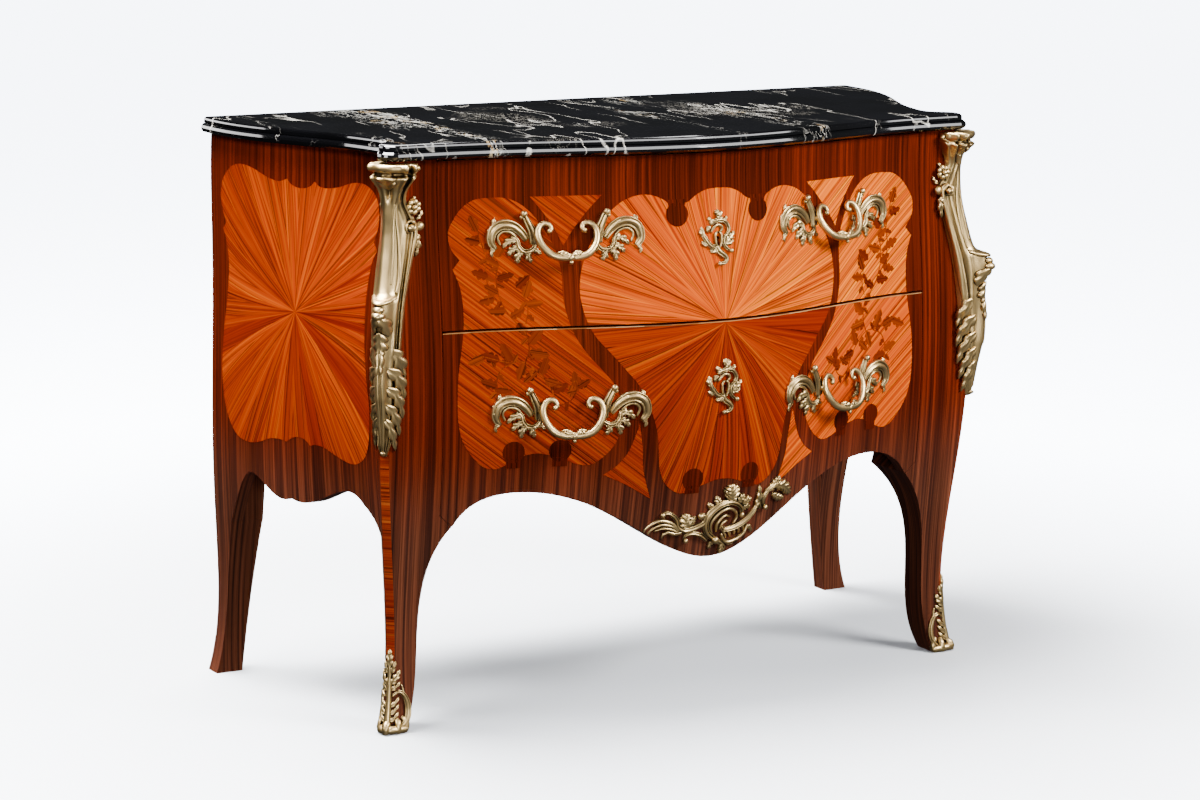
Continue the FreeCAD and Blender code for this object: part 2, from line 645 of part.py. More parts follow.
# First number and second number: width at the start and end as shares of the half height.
HANDLE_SHARES = [
    (0.22, 0.20, [(0.92, -0.32), (0.94, 0.12), (0.80, 0.46), (0.64, 0.42), (0.52, 0.06)]),
    (0.34, 0.18, [(0.40, -0.20), (0.50, 0.34), (0.54, 0.70), (0.52, 0.92)]),
    (0.24, 0.26, [(0.52, 0.06), (0.65, -0.24), (0.60, -0.54), (0.48, -0.56), (0.38, -0.20)]),
    (0.34, 0.16, [(0.58, -0.50), (0.57, -0.70), (0.54, -0.90)]),
    (0.28, 0.16, [(0.64, -0.30), (0.76, -0.20), (0.84, -0.36)]),
]
ESCUTCHEON_SHARES = [
    (0.40, 0.24, [(-0.02, 0.36), (0.02, 0.04), (0.06, -0.36)]),
    (0.44, 0.16, [(0.00, 0.44), (0.10, 0.62), (0.12, 0.90)]),
    (0.16, 0.16, [(0.12, 0.46), (0.52, 0.34), (0.40, 0.02), (0.36, -0.24), (0.62, -0.46)]),
    (0.26, 0.12, [(0.44, -0.14), (0.70, 0.10), (0.90, 0.18)]),
    (0.22, 0.14, [(0.02, -0.34), (-0.54, -0.20), (-0.82, 0.10), (-0.78, 0.40)]),
    (0.22, 0.14, [(-0.36, -0.42), (0.04, -0.46), (0.32, -0.66), (0.10, -0.90)]),
]
APRON_SHARES = [
    (0.14, 0.14, [(-0.06, -0.50), (-0.20, -0.30), (-0.23, 0.00), (-0.12, 0.34), (0.06, 0.48), (0.18, 0.38),
                  (0.24, 0.10)]),
    (0.16, 0.10, [(-0.08, -0.34), (-0.06, -0.02), (0.06, 0.06), (0.13, -0.08)]),
    (0.14, 0.10, [(0.02, -0.26), (0.16, -0.27), (0.32, -0.10), (0.46, 0.20), (0.49, 0.56), (0.51, 0.84)]),
    (0.12, 0.10, [(0.00, -0.32), (0.09, -0.60), (0.24, -0.62), (0.36, -0.38), (0.34, -0.16)]),
    (0.12, 0.08, [(-0.08, -0.58), (0.05, -0.68), (0.09, -0.80), (0.04, -0.94)]),
    (0.12, 0.10, [(-0.10, -0.56), (-0.24, -0.38), (-0.38, -0.28), (-0.46, -0.34), (-0.48, -0.50)]),
    (0.12, 0.12, [(-0.22, 0.06), (-0.28, -0.08), (-0.40, -0.22), (-0.54, -0.14), (-0.60, 0.08),
                  (-0.56, 0.20)]),
    (0.24, 0.08, [(-0.52, -0.20), (-0.66, -0.06), (-0.82, 0.12), (-0.96, -0.10)]),
    (0.12, 0.10, [(-0.60, 0.04), (-0.68, 0.26), (-0.80, 0.30)]),
    (0.10, 0.08, [(-0.44, -0.24), (-0.62, -0.22), (-0.75, -0.34)]),
    (0.42, 0.10, [(0.04, 0.50), (0.08, 0.72), (0.09, 0.90)]),
    (0.30, 0.30, [(0.24, 0.44), (0.34, 0.32), (0.42, 0.26)]),
    (0.14, 0.12, [(0.54, 0.24), (0.58, 0.54), (0.66, 0.76), (0.78, 0.84), (0.88, 0.64), (0.97, 0.44)]),
    (0.16, 0.12, [(0.46, 0.30), (0.54, 0.34), (0.56, 0.44)]),
    (0.14, 0.10, [(0.74, 0.50), (0.85, 0.42), (0.96, 0.44)]),
]
SABOT_SHARES = [
    (0.12, 0.08, [(0.84, -1.00), (0.94, -0.50), (0.72, 0.04)]),
    (0.12, 0.10, [(0.16, 0.06), (0.30, -0.30), (0.58, -0.48), (0.90, -0.46)]),
    (0.16, 0.12, [(0.20, -0.90), (0.50, -0.90), (0.86, -0.92)]),
]


# Handles: two plates, a bow and two threaded posts cast in one.
def bow_path():
    """Centre line of the bow: foot, sides and curled ends, all tangent, on X and Z."""
    turn = math.pi / 4
    belly = s.bow_belly_radius
    x1 = belly * math.sin(turn)
    z1 = belly * (1 - math.cos(turn)) - s.bow_drop
    bend = (s.bow_half_width - x1) / (1 - math.sin(turn))
    z2 = z1 + bend * math.cos(turn)
    middle = 3 * math.pi / 8
    curl = s.bow_curl_radius
    z3 = z2 + s.bow_rise

    def at(x, z):
        return Vector(x, 0, z)

    def side(sign):
        return [
            Part.Arc(at(sign * x1, z1),
                     at(sign * (x1 + bend * (math.sin(middle) - math.sin(turn))),
                        z1 + bend * (math.cos(turn) - math.cos(middle))),
                     at(sign * s.bow_half_width, z2)).toShape(),
            Part.makeLine(at(sign * s.bow_half_width, z2), at(sign * s.bow_half_width, z3)),
            Part.Arc(at(sign * s.bow_half_width, z3),
                     at(sign * (s.bow_half_width - curl), z3 + curl),
                     at(sign * (s.bow_half_width - 2 * curl), z3)).toShape(),
        ]

    foot = Part.Arc(at(-x1, z1), at(0, -s.bow_drop), at(x1, z1)).toShape()
    return Part.Wire(Part.__sortEdges__(side(-1) + [foot] + side(1)))


def handle(name, z):
    """The right-hand handle at one height, the posts through the front, and their nuts."""
    x = s.handle_half_span
    face = front_y(x, z)
    slope = math.atan2(front_y(x + s.post_spread, z) - front_y(x - s.post_spread, z), 2 * s.post_spread)
    lean = math.atan2(s.bow_stand_off - s.bow_top_stand_off, s.bow_drop)
    turn = Rotation(Vector(0, 0, 1), math.degrees(slope)) * Rotation(Vector(1, 0, 0), -math.degrees(lean))
    centre = Vector(x, face - s.bow_top_stand_off, z)
    path = feature(f"{name}_path", bow_path())
    path.Placement = Placement(centre, turn)
    doc.recompute()
    start = path.Shape.Edges[0]
    tip = start.valueAt(start.FirstParameter)
    way = start.tangentAt(start.FirstParameter)
    ring = feature(f"{name}_ring", Part.Wire(Part.makeCircle(s.bow_round, tip, way)))
    bow = doc.addObject("Part::Sweep", f"{name}_bow")
    bow.Sections = [ring]
    bow.Spine = (path, [f"Edge{i + 1}" for i in range(len(path.Shape.Edges))])
    bow.Solid = True
    bow.Frenet = False
    knop = doc.addObject("Part::Sphere", f"{name}_knop")
    along_bow = turn * Rotation(Vector(0, 1, 0), 90)
    knop.Placement = Placement(centre + turn.multVec(Vector(0, 0, -s.bow_drop)), along_bow)
    bind(knop, Radius="Sizes.knop_round")
    tip_ball = doc.addObject("Part::Sphere", f"{name}_tip_ball")
    tip_ball.Placement = Placement(tip, Rotation())
    bind(tip_ball, Radius="3 / 2 * Sizes.bow_round")
    end_ball = doc.addObject("Part::Sphere", f"{name}_end_ball")
    last = path.Shape.Edges[-1]
    end_ball.Placement = Placement(last.valueAt(last.LastParameter), Rotation())
    bind(end_ball, Radius="3 / 2 * Sizes.bow_round")
    pieces = [bow, knop, tip_ball, end_ball]
    bed = pad(f"{name}_bed", x, z, s.handle_half_length, s.handle_half_height,
              -s.front_thickness, s.mount_gap)
    plate = pad(f"{name}_plate", x, z, s.handle_half_length, s.handle_half_height,
                s.mount_gap, s.plate_relief)
    towards_back = Rotation(Vector(1, 0, 0), -90)
    posts = []
    holes = []
    nuts = []
    for number, sign in enumerate((-1, 1)):
        px = x + sign * s.post_spread
        py = front_y(px, z)
        low = Vector(px, face - s.bow_top_stand_off + sign * math.tan(slope) * s.post_spread, z)
        lug = rod(f"{name}_lug{number}", "Sizes.lug_round", "Sizes.bow_top_stand_off + Sizes.lug_round",
                  low, towards_back)
        pieces.append(cut(f"{name}_trimmed_lug{number}", lug, bed))
        floor = Vector(px, py + s.front_thickness - s.nut_height, z)
        posts.append(rod(f"{name}_post{number}", "Sizes.post_round",
                         "Sizes.bow_top_stand_off + Sizes.front_thickness + Sizes.post_tip",
                         Vector(px, py - s.bow_top_stand_off, z), towards_back))
        holes.append(rod(f"{name}_hole{number}", "Sizes.post_round + Sizes.post_clearance",
                         "3 * Sizes.front_thickness", Vector(px, py - s.front_thickness, z), towards_back))
        holes.append(rod(f"{name}_recess{number}", "Sizes.nut_round + Sizes.nut_recess_clearance",
                         "Sizes.front_thickness", floor, towards_back))
        nut = rod(f"{name}_nut{number}", "Sizes.nut_round", "Sizes.nut_height", floor, towards_back)
        bore = rod(f"{name}_bore{number}", "Sizes.post_round + Sizes.nut_clearance",
                   "Sizes.nut_height", floor, towards_back)
        nuts.append(cut(f"{name}_drilled_nut{number}", nut, bore))
    strokes = []
    for number, sign in enumerate((-1, 1)):
        shares = [(a, b, [(sign * u, v) for u, v in points]) for a, b, points in HANDLE_SHARES]
        strokes.append(ornament(f"{name}_plate{number}", shares, s.handle_half_length, s.handle_half_height,
                                Vector(x, bow_middle, z)))
    raised = common(f"{name}_raised", fuse(f"{name}_scrolls", strokes), plate)
    right = fuse(f"{name}_right", [raised] + pieces + posts)
    every_hole = holes + [mirrored(f"{hole.Name}_left", hole) for hole in holes]
    every_nut = nuts + [mirrored(f"{nut.Name}_left", nut) for nut in nuts]
    return right, every_hole, every_nut


# Drawers.
TAIL_SHARES = (0.14, 0.38, 0.62, 0.86)
tail_core = body_loft("tail_core", y="Sizes.front_thickness - Sizes.dovetail_length + Sizes.slide_clearance")
socket_core = body_loft("socket_core", y="Sizes.front_thickness - Sizes.dovetail_length")
front_shell = cut("front_shell", common("front_half", body, front_zone), front_core)
DRAWER_BACK = f"({BACK} - Sizes.back_inset - Sizes.back_thickness - Sizes.drawer_back_clearance)"
SIDE_IN = "(Sizes.drawer_side_half_width - Sizes.drawer_side_thickness)"


def tails(name, z0, z1):
    """Dovetails seen from the side, spread over the height of a drawer side."""
    prisms = []
    root = s.corner_depth + s.knee_swell - s.front_thickness
    end = root + s.dovetail_length
    far = end + s.dovetail_length
    near = root - s.dovetail_length
    flare = s.dovetail_slope / s.dovetail_length
    for number, share in enumerate(TAIL_SHARES):
        middle = z0 + (z1 - z0) * share
        narrow = s.dovetail_width / 2 + (near - root) * flare
        broad = s.dovetail_width / 2 + (far - root) * flare
        wire = Part.Wire(chain([
            (near, middle - narrow), (far, middle - broad), (far, middle + broad), (near, middle + narrow),
            (near, middle - narrow),
        ], on_side))
        prisms.append(extrude(f"{name}_tail{number}", wire, Vector(1, 0, 0), f"2 * {CARCASS}"))
    return fuse(f"{name}_tails", prisms)


def lock(name, key_height, ceiling):
    """The lock lies along the sloping inner face of the drawer front."""
    y = front_y(0, key_height) + s.front_thickness
    y_top = front_y(0, ceiling) + s.front_thickness
    lean = -math.degrees(math.atan2(y_top - y, ceiling - key_height))
    home = Placement(Vector(0, y, key_height), Rotation(Vector(1, 0, 0), lean))
    rise = (ceiling - key_height) / math.cos(math.radians(lean))

    def bar(part, x, near, z, width, depth, height):
        made = doc.addObject("Part::Box", f"{name}_{part}")
        made.Placement = home * Placement(Vector(x, near, z), Rotation())
        return bind(made, Length=width, Width=depth, Height=height)

    low = -s.lock_height * 3 / 5
    gap = s.bolt_clearance
    bolt_y = s.bolt_set_back - s.bolt_depth / 2
    case = bar("case", -s.lock_width / 2, -s.lock_sink, low, "Sizes.lock_width", "Sizes.lock_depth",
               "Sizes.lock_height")
    channel = bar("channel", -s.bolt_width / 2 - gap, bolt_y - gap, low + s.lock_plate,
                  "Sizes.bolt_width + 2 * Sizes.bolt_clearance",
                  "Sizes.bolt_depth + 2 * Sizes.bolt_clearance", "2 * Sizes.lock_height")
    pocket = bar("pocket", -s.lock_width / 2 - s.fit_clearance, -s.lock_sink, low - s.fit_clearance,
                 "Sizes.lock_width + 2 * Sizes.fit_clearance", "2 * Sizes.lock_depth",
                 "Sizes.lock_height + 2 * Sizes.fit_clearance")
    mortise = bar("mortise", -s.bolt_width / 2 - gap, bolt_y - gap, rise - s.bolt_rest_gap,
                  "Sizes.bolt_width + 2 * Sizes.bolt_clearance",
                  "Sizes.bolt_depth + 2 * Sizes.bolt_clearance", "Sizes.bolt_mortise + Sizes.bolt_rest_gap")
    foot = low + 2 * s.lock_plate
    bolt = bar("bolt_bar", -s.bolt_width / 2, bolt_y, foot, "Sizes.bolt_width", "Sizes.bolt_depth",
               "Sizes.lock_height")
    bolt.setExpression("Height", None)
    bolt.Height = rise - s.bolt_rest_gap - foot
    key_end = y + bolt_y - gap - s.lock_plate / 2
    round_hole = rod(f"{name}_key_round", "Sizes.key_round", "4 * Sizes.front_thickness",
                     Vector(0, key_end, key_height), Rotation(Vector(1, 0, 0), 90))
    slot = doc.addObject("Part::Box", f"{name}_key_slot")
    slot_corner = Vector(
        -s.key_slot_width / 2, key_end - 4 * s.front_thickness, key_height - s.key_slot_length)
    slot.Placement = Placement(slot_corner, Rotation())
    bind(slot, Length="Sizes.key_slot_width", Width="4 * Sizes.front_thickness",
         Height="Sizes.key_slot_length")
    keyhole = fuse(f"{name}_keyhole", [round_hole, slot])
    screws = []
    bores = []
    high = low + s.lock_height
    for number, (sx, sz) in enumerate(((-1, low), (1, low), (-1, high), (1, high))):
        away = s.lock_screw_inset if sz == low else -s.lock_screw_inset
        spot = Vector(sx * (s.lock_width / 2 - s.lock_screw_inset), s.lock_depth - s.lock_sink, sz + away)
        head_place = home * Placement(spot, Rotation(Vector(1, 0, 0), -90))
        shank_place = home * Placement(spot, Rotation(Vector(1, 0, 0), 90))
        shank = doc.addObject("Part::Cylinder", f"{name}_shank{number}")
        shank.Placement = shank_place
        bind(shank, Radius="Sizes.lock_screw_round", Height="Sizes.lock_depth + Sizes.lock_screw_length")
        head = doc.addObject("Part::Cylinder", f"{name}_head{number}")
        head.Placement = head_place
        bind(head, Radius="Sizes.lock_screw_head", Height="Sizes.lock_screw_round")
        screws.append(fuse(f"{name}_screw{number}", [shank, head]))
        bore = doc.addObject("Part::Cylinder", f"{name}_bore{number}")
        bore.Placement = shank_place
        bind(bore, Radius="Sizes.lock_screw_round + Sizes.fit_clearance",
             Height="Sizes.lock_depth + Sizes.lock_screw_length + Sizes.fit_clearance")
        bores.append(bore)
    openings = fuse(f"{name}_openings", [channel, keyhole] + bores)
    done(f"{name}_lock_case", cut(f"{name}_lock_case", case, openings))
    done(f"{name}_lock_bolt", bolt)
    group = doc.addObject("Part::Compound", f"{name}_lock_screws")
    group.Links = screws
    done(f"{name}_lock_screws", group)
    return [pocket, keyhole] + bores, keyhole, mortise


def drawer(name, outline, floor, ceiling, floor_z, ceiling_z, key_height, handle_height):
    """One drawer: front, sides, back, bottom, lock and its bronzes."""
    zone = extrude(f"{name}_front_zone", outline, Vector(0, 1, 0), f"2 * {CARCASS}")
    blank = common(f"{name}_front_blank", front_shell, zone)
    low = f"({floor} + Sizes.slide_clearance)"
    tall = f"({ceiling} - Sizes.drawer_head_room - {low})"
    side_bar = block(f"{name}_side_bar", SIDE_IN, f"{BACK} - {CARCASS}", low, "Sizes.drawer_side_thickness",
                     f"{DRAWER_BACK} - {BACK} + {CARCASS}", tall)
    fan = tails(name, floor_z, ceiling_z)
    groove = block(f"{name}_groove", f"{SIDE_IN} - Sizes.cut_overrun", f"{BACK} - {CARCASS}",
                   f"{low} + Sizes.drawer_floor_lift - Sizes.fit_clearance",
                   "Sizes.drawer_floor_tongue + Sizes.fit_clearance + Sizes.cut_overrun", f"2 * {CARCASS}",
                   "Sizes.drawer_floor_thickness + 2 * Sizes.fit_clearance")
    long_side = common(f"{name}_side_plain", side_bar, rail_core)
    tail_ends = common(f"{name}_side_tails", side_bar, tail_core, fan)
    right_side = cut(f"{name}_right_side", fuse(f"{name}_side_tailed", [long_side, tail_ends]), groove)
    done(f"{name}_right_side", right_side)
    done(f"{name}_left_side", mirrored(f"{name}_left_side", right_side))
    done(f"{name}_back", block(
        f"{name}_back", f"-{SIDE_IN}", f"{DRAWER_BACK} - Sizes.drawer_side_thickness",
        f"{low} + Sizes.drawer_floor_lift + Sizes.drawer_floor_thickness", f"2 * {SIDE_IN}",
        "Sizes.drawer_side_thickness",
        f"{tall} - Sizes.drawer_floor_lift - Sizes.drawer_floor_thickness - Sizes.drawer_back_drop"))
    board = block(f"{name}_floor_board", f"-{SIDE_IN} - Sizes.drawer_floor_tongue", f"{BACK} - {CARCASS}",
                  f"{low} + Sizes.drawer_floor_lift", f"2 * ({SIDE_IN} + Sizes.drawer_floor_tongue)",
                  f"{DRAWER_BACK} - {BACK} + {CARCASS}", "Sizes.drawer_floor_thickness")
    done(f"{name}_bottom", common(f"{name}_bottom", board, rail_core))
    sockets = common(f"{name}_sockets", side_bar, socket_core, fan)
    lock_cuts, keyhole, mortise = lock(name, key_height, ceiling_z)
    right_handle, holes, nuts = handle(f"{name}_handle", handle_height)
    both_sockets = [sockets, mirrored(f"{name}_sockets_left", sockets)]
    hollows = fuse(f"{name}_hollows", both_sockets + lock_cuts + holes)
    done(f"{name}_front", cut(f"{name}_front", blank, hollows))
    done(f"{name}_right_handle", right_handle)
    done(f"{name}_left_handle", mirrored(f"{name}_left_handle", right_handle))
    group = doc.addObject("Part::Compound", f"{name}_handle_nuts")
    group.Links = nuts
    done(f"{name}_handle_nuts", group)
    badge = ornament(f"{name}_badge", ESCUTCHEON_SHARES, s.escutcheon_half_width, s.escutcheon_half_height,
                     Vector(0, bow_middle, key_height))
    badge_pad = pad(f"{name}_badge_pad", 0, key_height, s.escutcheon_half_width, s.escutcheon_half_height,
                    s.mount_gap, s.plate_relief)
    raised = common(f"{name}_badge_plate", badge, badge_pad)
    done(f"{name}_escutcheon", cut(f"{name}_escutcheon", raised, keyhole))
    return mortise


edge = s.opening_half_width - s.stile_gap
upper_low = s.split_height + s.drawer_gap / 2
upper_top = carcass_height - s.drawer_gap
lower_top = s.split_height - s.drawer_gap / 2
upper_outline = Part.Wire(chain([
    (-edge, upper_low), (edge, upper_low), (edge, upper_top), (-edge, upper_top), (-edge, upper_low),
], on_front))
arch_right = [
    (s.arch_join_half_width - s.stile_gap, s.arch_join_height),
    (s.apron_shoulder_half_width, s.apron_shoulder_height),
    (s.apron_arch_half_width, s.apron_arch_height),
    (s.apron_mid_half_width, s.apron_mid_height),
]
arch_left = [(-x, z) for x, z in arch_right[::-1]]
lower_outline = Part.Wire(chain([
    arch_left[-1], (-edge, s.drawer_corner_height), (-edge, lower_top), (edge, lower_top),
    (edge, s.drawer_corner_height), arch_right[0],
], on_front) + [spline([on_front(*p) for p in arch_right + [(0, s.apron_drop_height)] + arch_left])])
half_rail = s.rail_height / 2
upper_mortise = drawer(
    "upper", upper_outline, f"({MIDDLE} + {H})", TOP, s.split_height + half_rail,
    carcass_height - s.rail_height, s.upper_key_height, s.upper_handle_height)
lower_mortise = drawer(
    "lower", lower_outline, f"({BOTTOM} + {H})", MIDDLE, s.bottom_frame_height + s.rail_height,
    s.split_height - half_rail, s.lower_key_height, s.lower_handle_height)
done("top_front_rail", cut("top_front_rail", top_blank, upper_mortise))
done("middle_front_rail", cut("middle_front_rail", middle_blank, lower_mortise))
apron = ornament("apron", APRON_SHARES, s.apron_mount_half_width, s.apron_mount_half_height,
                 Vector(s.apron_mount_shift, bow_middle, s.apron_mount_height))
apron_pad = pad("apron_pad", s.apron_mount_shift, s.apron_mount_height, s.apron_mount_half_width,
                s.apron_mount_half_height, s.mount_gap, s.plate_relief)
done("apron_mount", common("apron_mount", apron, apron_pad))


# Corner mounts: a capital, a neck with two scrolls, a husk and a long leaf, wrapped round the corner.
def corner_point(z):
    """The middle of the cant at one height."""
    back = s.corner_depth - s.sabot_reach
    start = Vector(s.corner_half_width - s.sabot_reach, s.origin_to_back - back, z)
    way = Vector(1, -1, 0)
    found = body_faces.common(Part.makeLine(start, start + way * s.corner_depth))
    return max((v.Point for v in found.Vertexes), key=lambda p: p.x)


OUT = Vector(1, -1, 0).normalize()
ALONG = Vector(1, 1, 0).normalize()
# Height, width and relief as shares of the mount's own height, width and relief.
CHUTE_SHARES = [
    (1.00, 1.25, 1.80), (0.955, 1.15, 1.35), (0.91, 0.80, 0.88), (0.83, 0.66, 0.70), (0.75, 0.80, 0.68),
    (0.67, 0.96, 0.82), (0.57, 0.92, 1.15), (0.48, 0.84, 1.38), (0.40, 0.78, 1.36), (0.30, 0.74, 1.25),
    (0.20, 0.68, 1.05), (0.12, 0.58, 0.88), (0.04, 0.46, 0.74), (0.00, 0.34, 0.50),
]


def corner_loft(name, shares, low, height, broad, relief):
    """A ridge wrapped round the corner; shares give height, width and relief, from tip to tip."""
    rings = []
    for number, (up, across, out) in enumerate(shares):
        here = corner_point(low + height * up)
        half = broad * across / 2
        inside = here - OUT * half
        left_end = inside - ALONG * half
        right_end = inside + ALONG * half
        rings.append(feature(f"{name}_ring{number}", Part.Wire([
            Part.Arc(left_end, here + OUT * (relief * out), right_end).toShape(),
            Part.makeLine(right_end, left_end),
        ])))
    made = doc.addObject("Part::Loft", name)
    made.Sections = rings
    made.Solid = True
    return made


chute_rise = carcass_height - s.chute_top_gap - s.chute_foot_height
chute_core = corner_loft("chute_core", CHUTE_SHARES, s.chute_foot_height, chute_rise,
                         s.chute_width, s.chute_relief)
volute_corner = corner_point(s.volute_height)
front_volute = rod("front_volute", "Sizes.volute_round", "2 * Sizes.volute_round",
                   volute_corner + Vector(-s.volute_spread, s.volute_round, 0),
                   Rotation(Vector(1, 0, 0), 90))
side_volute = rod("side_volute", "Sizes.volute_round", "2 * Sizes.volute_round",
                  volute_corner + Vector(-s.volute_round, s.volute_spread, 0),
                  Rotation(Vector(0, 1, 0), 90))
husk = doc.addObject("Part::Sphere", "husk")
husk_stand_off = s.chute_relief + s.husk_round / 2
husk.Placement = Placement(corner_point(s.husk_height) + OUT * husk_stand_off, Rotation())
bind(husk, Radius="Sizes.husk_round")
chute_solid = fuse("chute_solid", [chute_core, front_volute, side_volute, husk])
pair("chute", cut("right_chute", chute_solid, proud))

# Foot mounts: a scrolled toe, a stem up the corner and an open loop on each face.
SABOT_STEM_SHARES = [
    (0.00, 1.50, 2.60), (0.08, 1.40, 2.20), (0.17, 0.90, 1.30), (0.40, 0.50, 1.10), (0.80, 0.36, 0.90),
    (1.00, 0.14, 0.30),
]


foot = corner_point(0)
half_sabot = s.sabot_height / 2
sabot_skin = body_loft("sabot_skin", x="Sizes.sabot_relief", y="-Sizes.sabot_relief")
stem = corner_loft("sabot_stem", SABOT_STEM_SHARES, 0.0, s.sabot_height, s.sabot_reach, s.sabot_relief)
foot_zone = doc.addObject("Part::Box", "foot_zone")
foot_zone.Placement = Placement(foot + Vector(-2, -1, 0) * s.sabot_reach, Rotation())
bind(foot_zone, Length="3 * Sizes.sabot_reach", Width="3 * Sizes.sabot_reach",
     Height="Sizes.sabot_height + Sizes.cut_overrun")
foot_skin = common("foot_skin", sabot_skin, foot_zone)
foot_wood = common("foot_wood", proud, foot_zone)
sabot_middle = Vector(foot.x, foot.y, half_sabot)
sabot_front = ornament("sabot_front", [(a, b, [(-u, v) for u, v in p]) for a, b, p in SABOT_SHARES],
                       s.sabot_reach, half_sabot, sabot_middle, None, "2 * Sizes.sabot_reach")
sabot_side = ornament("sabot_side", SABOT_SHARES, s.sabot_reach, half_sabot, sabot_middle,
                      Rotation(Vector(0, 0, 1), 90), "2 * Sizes.sabot_reach")
sabot_pieces = [
    common("sabot_front_clad", sabot_front, foot_skin),
    common("sabot_side_clad", sabot_side, foot_skin),
    stem,
]
pair("sabot", cut("right_sabot", fuse("sabot_solid", sabot_pieces), foot_wood))

# Every object must have come out sound before anything is written.
doc.recompute()
for made in doc.Objects:
    if {"Invalid", "Error"} & set(made.State):
        raise RuntimeError(f"{made.Label} failed: {made.State}")
os.makedirs("parts", exist_ok=True)
for made in finished:
    shape = made.Shape
    if shape.isNull() or not shape.isValid() or not shape.Solids:
        raise RuntimeError(f"{made.Label} has no sound solid")
    shape.exportStep(os.path.join("parts", f"{made.Label}.step"))
print(len(finished), "sub-parts written")
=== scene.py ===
# %% [markdown]
# A serpentine commode: two drawers under a black marble slab, veneered in rosewood with tulipwood
# sunbursts, and dressed with cast bronze mounts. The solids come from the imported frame, so this
# file only adds what the eye sees: veneers, stone, polish and the modelling of the bronzes.

# %% Load the frame
import json
import math
import random

import bmesh
import bpy
import numpy as np
from mathutils import Matrix, Vector
from mathutils.bvhtree import BVHTree
from mathutils.geometry import delaunay_2d_cdt


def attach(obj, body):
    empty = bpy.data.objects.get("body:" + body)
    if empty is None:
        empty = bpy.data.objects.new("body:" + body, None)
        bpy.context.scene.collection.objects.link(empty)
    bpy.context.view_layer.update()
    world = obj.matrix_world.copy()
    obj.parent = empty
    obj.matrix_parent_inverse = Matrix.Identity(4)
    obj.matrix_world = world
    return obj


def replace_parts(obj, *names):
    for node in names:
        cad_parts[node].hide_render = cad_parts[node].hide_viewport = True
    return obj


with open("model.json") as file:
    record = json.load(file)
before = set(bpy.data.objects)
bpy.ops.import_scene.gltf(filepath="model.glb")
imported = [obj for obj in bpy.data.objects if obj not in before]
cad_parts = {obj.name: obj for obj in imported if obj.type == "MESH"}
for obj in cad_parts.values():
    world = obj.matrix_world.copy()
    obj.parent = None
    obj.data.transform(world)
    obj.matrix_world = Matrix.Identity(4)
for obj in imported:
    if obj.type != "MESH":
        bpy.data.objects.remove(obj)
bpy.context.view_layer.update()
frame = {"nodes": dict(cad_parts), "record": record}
nodes = frame["nodes"]

# %% [markdown]
# The camera stands to the left of the commode and looks down a little, with a long lens, so the
# top shows as a thin ellipse and the left side is foreshortened. Its place came from matching known
# corners, so that every edge can be compared; set by eye, it would hide small faults of shape. The
# picture was cropped off centre, which the two small shifts repeat.

# %% Camera
YAW, PITCH, ROLL = 0.5233, 0.1732, 0.0117  # radians
STAND = Vector((-2.6975, -4.4609, 1.4503))  # metres
SENSOR, FOCAL_LENGTH = 36.0, 101.9  # millimetres
SHIFT_RIGHT, SHIFT_DOWN = 0.0326, 0.0593  # shares of the picture's width
forward = Vector((math.sin(YAW) * math.cos(PITCH), math.cos(YAW) * math.cos(PITCH), -math.sin(PITCH)))
level = Vector((math.cos(YAW), -math.sin(YAW), 0))
upright = level.cross(forward)
across = level * math.cos(ROLL) + upright * math.sin(ROLL)
upward = upright * math.cos(ROLL) - level * math.sin(ROLL)
lens = bpy.data.cameras.new("camera")
lens.sensor_width = SENSOR
lens.lens = FOCAL_LENGTH
lens.shift_x = SHIFT_RIGHT
lens.shift_y = -SHIFT_DOWN
camera = bpy.data.objects.new("camera", lens)
bpy.context.scene.collection.objects.link(camera)
camera.matrix_world = Matrix((
    (across.x, upward.x, -forward.x, STAND.x),
    (across.y, upward.y, -forward.y, STAND.y),
    (across.z, upward.z, -forward.z, STAND.z),
    (0, 0, 0, 1),
))
bpy.context.scene.camera = camera
print("camera looks along", [round(v, 3) for v in forward])

# %% [markdown]
# Every finish and piece below is made of shader nodes and meshes. Colours are written as sRGB hex codes, as
# on a colour chart, and one function turns them into the linear light that shaders work with. Patterns are
# written in real millimetres, and another function turns those into repeats to the metre. One function adds
# a shader node with its settings and links; that keeps a material readable as a list of steps.

# %% Colours, nodes and meshes
def linear(code):
    """An sRGB hex colour as linear RGBA."""
    parts = [int(code[i:i + 2], 16) / 255 for i in (1, 3, 5)]
    return [c / 12.92 if c <= 0.04045 else ((c + 0.055) / 1.055) ** 2.4 for c in parts] + [1.0]


def per_metre(*sizes):
    """How often patterns of these sizes, in millimetres, repeat to the metre."""
    return tuple(1000 / size for size in sizes)


def node(tree, kind, inputs=None, stops=None, **settings):
    """Adds one shader node. Inputs are values or sockets to link; stops fill a colour ramp."""
    made = tree.nodes.new("ShaderNode" + kind)
    for name, value in settings.items():
        setattr(made, name, value)
    for key, value in (inputs or {}).items():
        if isinstance(value, bpy.types.NodeSocket):
            tree.links.new(value, made.inputs[key])
        else:
            made.inputs[key].default_value = value
    if stops:
        elements = made.color_ramp.elements
        while len(elements) < len(stops):
            elements.new(1.0)
        for element, (place, colour) in zip(elements, stops):
            element.position = place
            element.color = linear(colour) if isinstance(colour, str) else (colour, colour, colour, 1)
    return made


def new_material(name):
    """A material, its node tree and its main shader."""
    material = bpy.data.materials.new(name)
    material.use_nodes = True
    tree = material.node_tree
    return material, tree, tree.nodes["Principled BSDF"]


